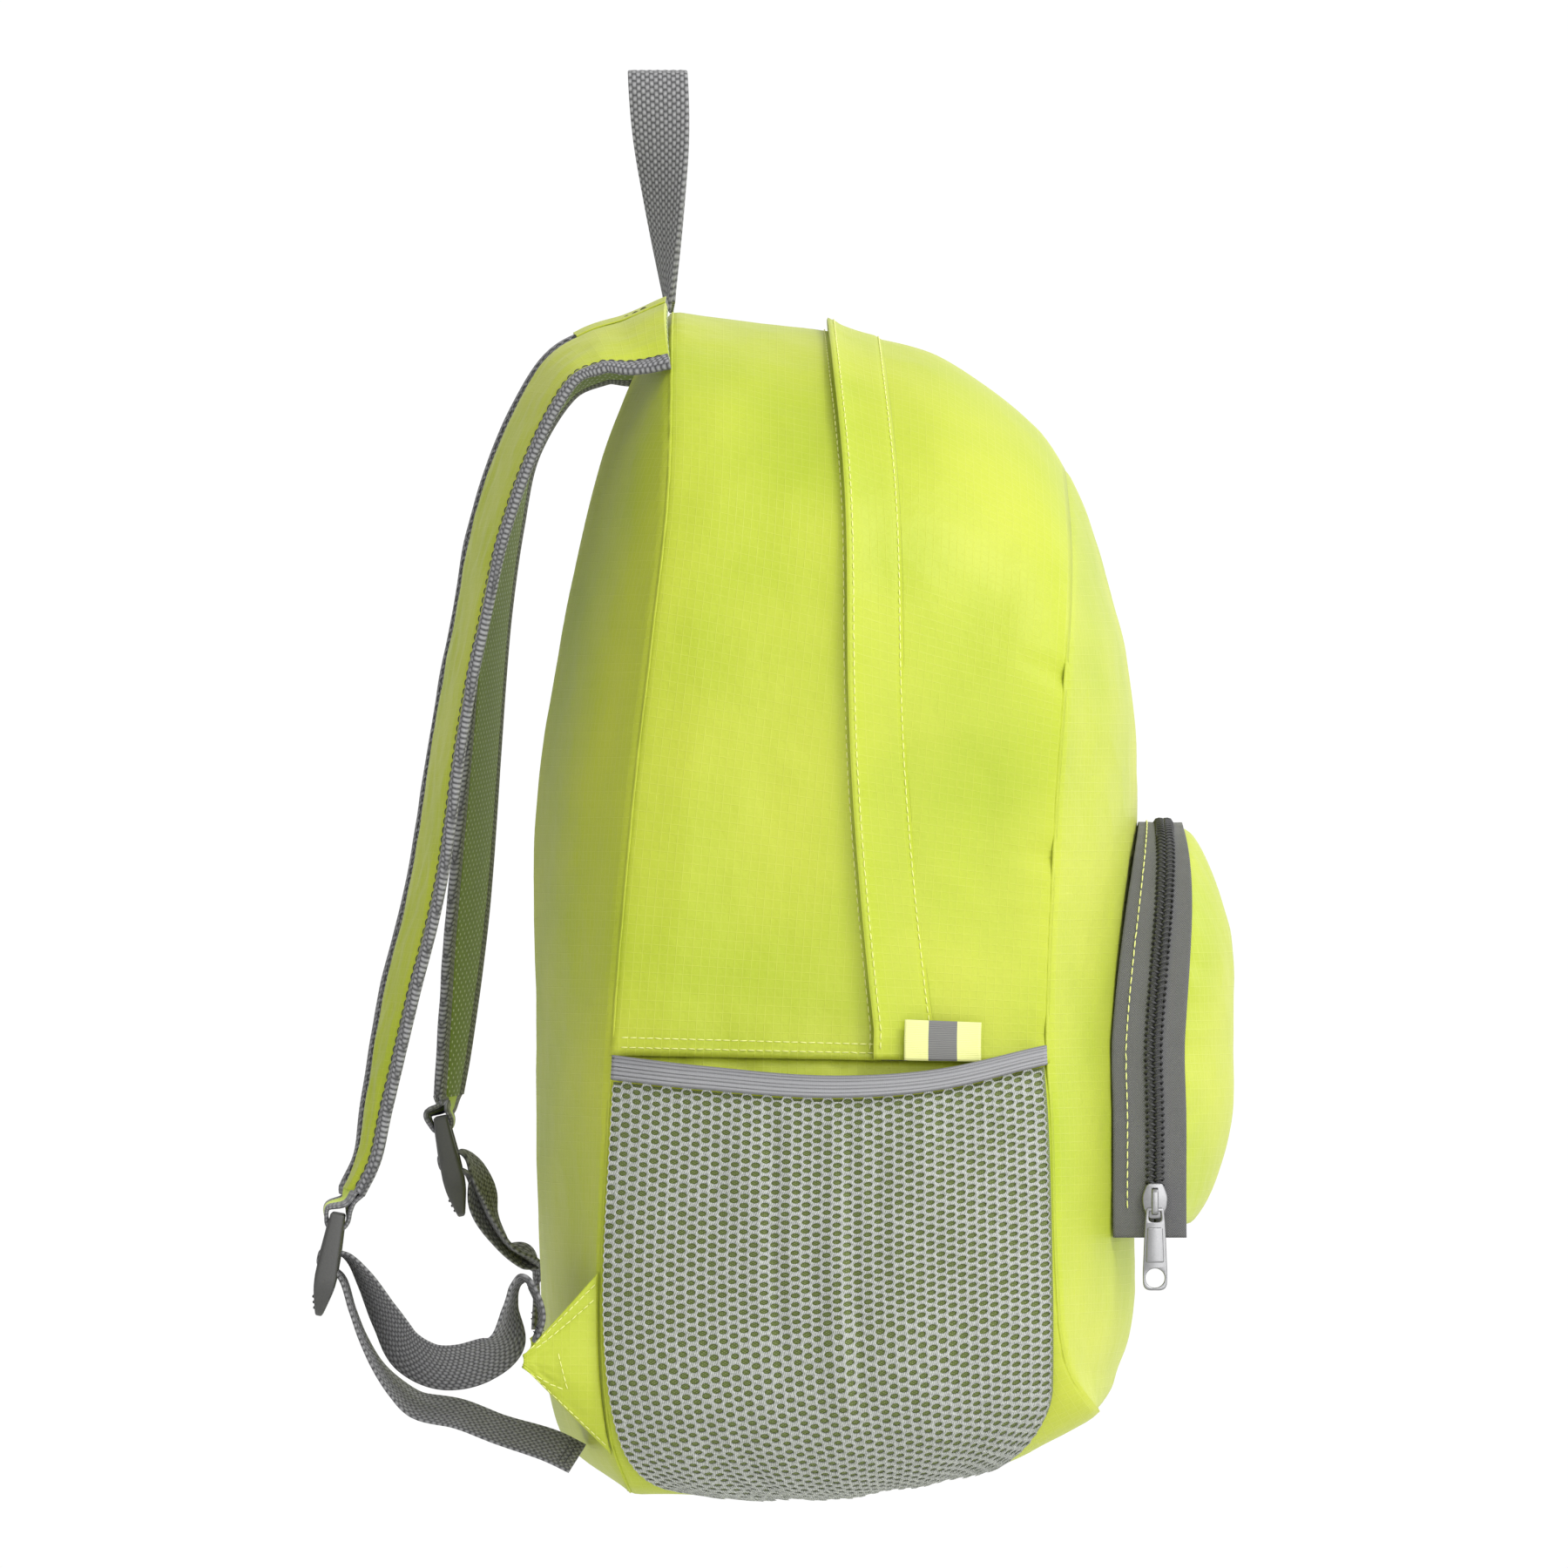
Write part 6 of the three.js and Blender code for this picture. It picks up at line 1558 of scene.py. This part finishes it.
for s in (nearStrap, farStrap):
    makeWebbing(s, makeLock(s, *makeStrap(s)))
print("straps made")

loop = {"width": 22, "inside": 7}
loopRows = table("""
    0 0 0 90
    0.1 0.02 0.65 90
    0.2 0.09 0.97 86
    0.4 0.28 1 68
    0.6 0.5 0.82 45
    0.8 0.75 0.45 23
    1 0.985 0 3""")


def loopPath(us):
    place, side = np.abs(2 * us - 1), np.where(us < 0.5, -1.0, 1.0)
    down = curve(loopRows, 1, place)
    stack = side * (strap["webThick"] + gap) * down * down / 2
    return np.stack([side * curve(loopRows, 2, place) * (loop["inside"] + strap["webThick"] / 2),
                     -bag["loopLean"] * down - stack,
                     strap["webThick"] / 2 - down * (bag["loopDrop"] + strap["webThick"] / 2)], -1)


def loopAcross(us):
    turn = np.radians(curve(loopRows, 3, np.abs(2 * us - 1)))
    return np.stack([np.cos(turn), np.sin(turn), 0 * turn], -1)


loopFrames = framesAlong(loopPath, 260, acrossAt=loopAcross)
loopHalf = loop["width"] / 2
loopRing = flatRing(0 * loopFrames["u"] - loopHalf, 0 * loopFrames["u"] + loopHalf,
                    lambda p: -strap["webThick"] / 2 - 0.12 * np.cos(p * 2.2) * np.clip((loopHalf - np.abs(p)) / 2, 0, 1),
                    lambda p: strap["webThick"] / 2 + 0.12 * np.cos(p * 2.2) * np.clip((loopHalf - np.abs(p)) / 2, 0, 1),
                    40, 0.5)
sweep("grab_loop_webbing", loopFrames, loopRing, loopWeave, nodes=("grab_loop",), slot="webbing")
print("grab loop made from", round(loopFrames["length"][-1]), "mm of webbing")

# Studio: a pale floor well below, a near-white room and three soft lights
stage = {"floorZ": -0.66, "floorRadius": 3, "distance": 9, "height": 0.576, "centre": (-0.0464, -0.2608)}
bpy.ops.mesh.primitive_circle_add(vertices=96, radius=stage["floorRadius"], fill_type="NGON",
                                  location=(0, 0, stage["floorZ"]))
floor = bpy.context.object
floor.name = "floor"
paper = Finish("floor_paper")
floor.data.materials.append(paper.done((0.86, 0.86, 0.86), 0.9))

bpy.context.scene.view_settings.view_transform = "Standard"
world = bpy.data.worlds.new("studio")
bpy.context.scene.world = world
world.use_nodes = True
# The room is white behind the pack and dimmer on its worn side
room = world.node_tree
apart = room.nodes.new("ShaderNodeSeparateXYZ")
dim = room.nodes.new("ShaderNodeMapRange")
for key, value in {"From Min": 0.12, "From Max": 0.9, "To Min": 1.02, "To Max": 0.25}.items():
    dim.inputs[key].default_value = value
room.links.new(room.nodes.new("ShaderNodeTexCoord").outputs["Generated"], apart.inputs[0])
room.links.new(apart.outputs["Y"], dim.inputs["Value"])
room.links.new(dim.outputs["Result"], room.nodes["Background"].inputs["Strength"])
room.nodes["Background"].inputs["Color"].default_value = (1, 1, 1, 1)

lamps = {"key": ((-1.5, -1.5, 1.6), 1.0, 30), "rim": ((0.9, -1.9, 0.5), 1.0, 6), "fill": ((-2.4, -0.6, 0.0), 1.2, 12)}
for name, (spot, size, power) in lamps.items():
    light = bpy.data.lights.new(name, "AREA")
    light.shape, light.size, light.energy = "DISK", size, power
    lamp = bpy.data.objects.new(name, light)
    lamp.location = spot
    lamp.rotation_euler = (Vector((0, -0.05, -0.3)) - Vector(spot)).to_track_quat("-Z", "Y").to_euler()
    bpy.context.scene.collection.objects.link(lamp)

lens = bpy.data.cameras.new("camera")
lens.sensor_width = 36
lens.lens = lens.sensor_width * stage["distance"] / stage["height"]
camera = bpy.data.objects.new("camera", lens)
camera.location = (-stage["distance"], *stage["centre"])
camera.rotation_euler = (quarter, 0, -quarter)
bpy.context.scene.collection.objects.link(camera)
bpy.context.scene.camera = camera

print("scene ready")
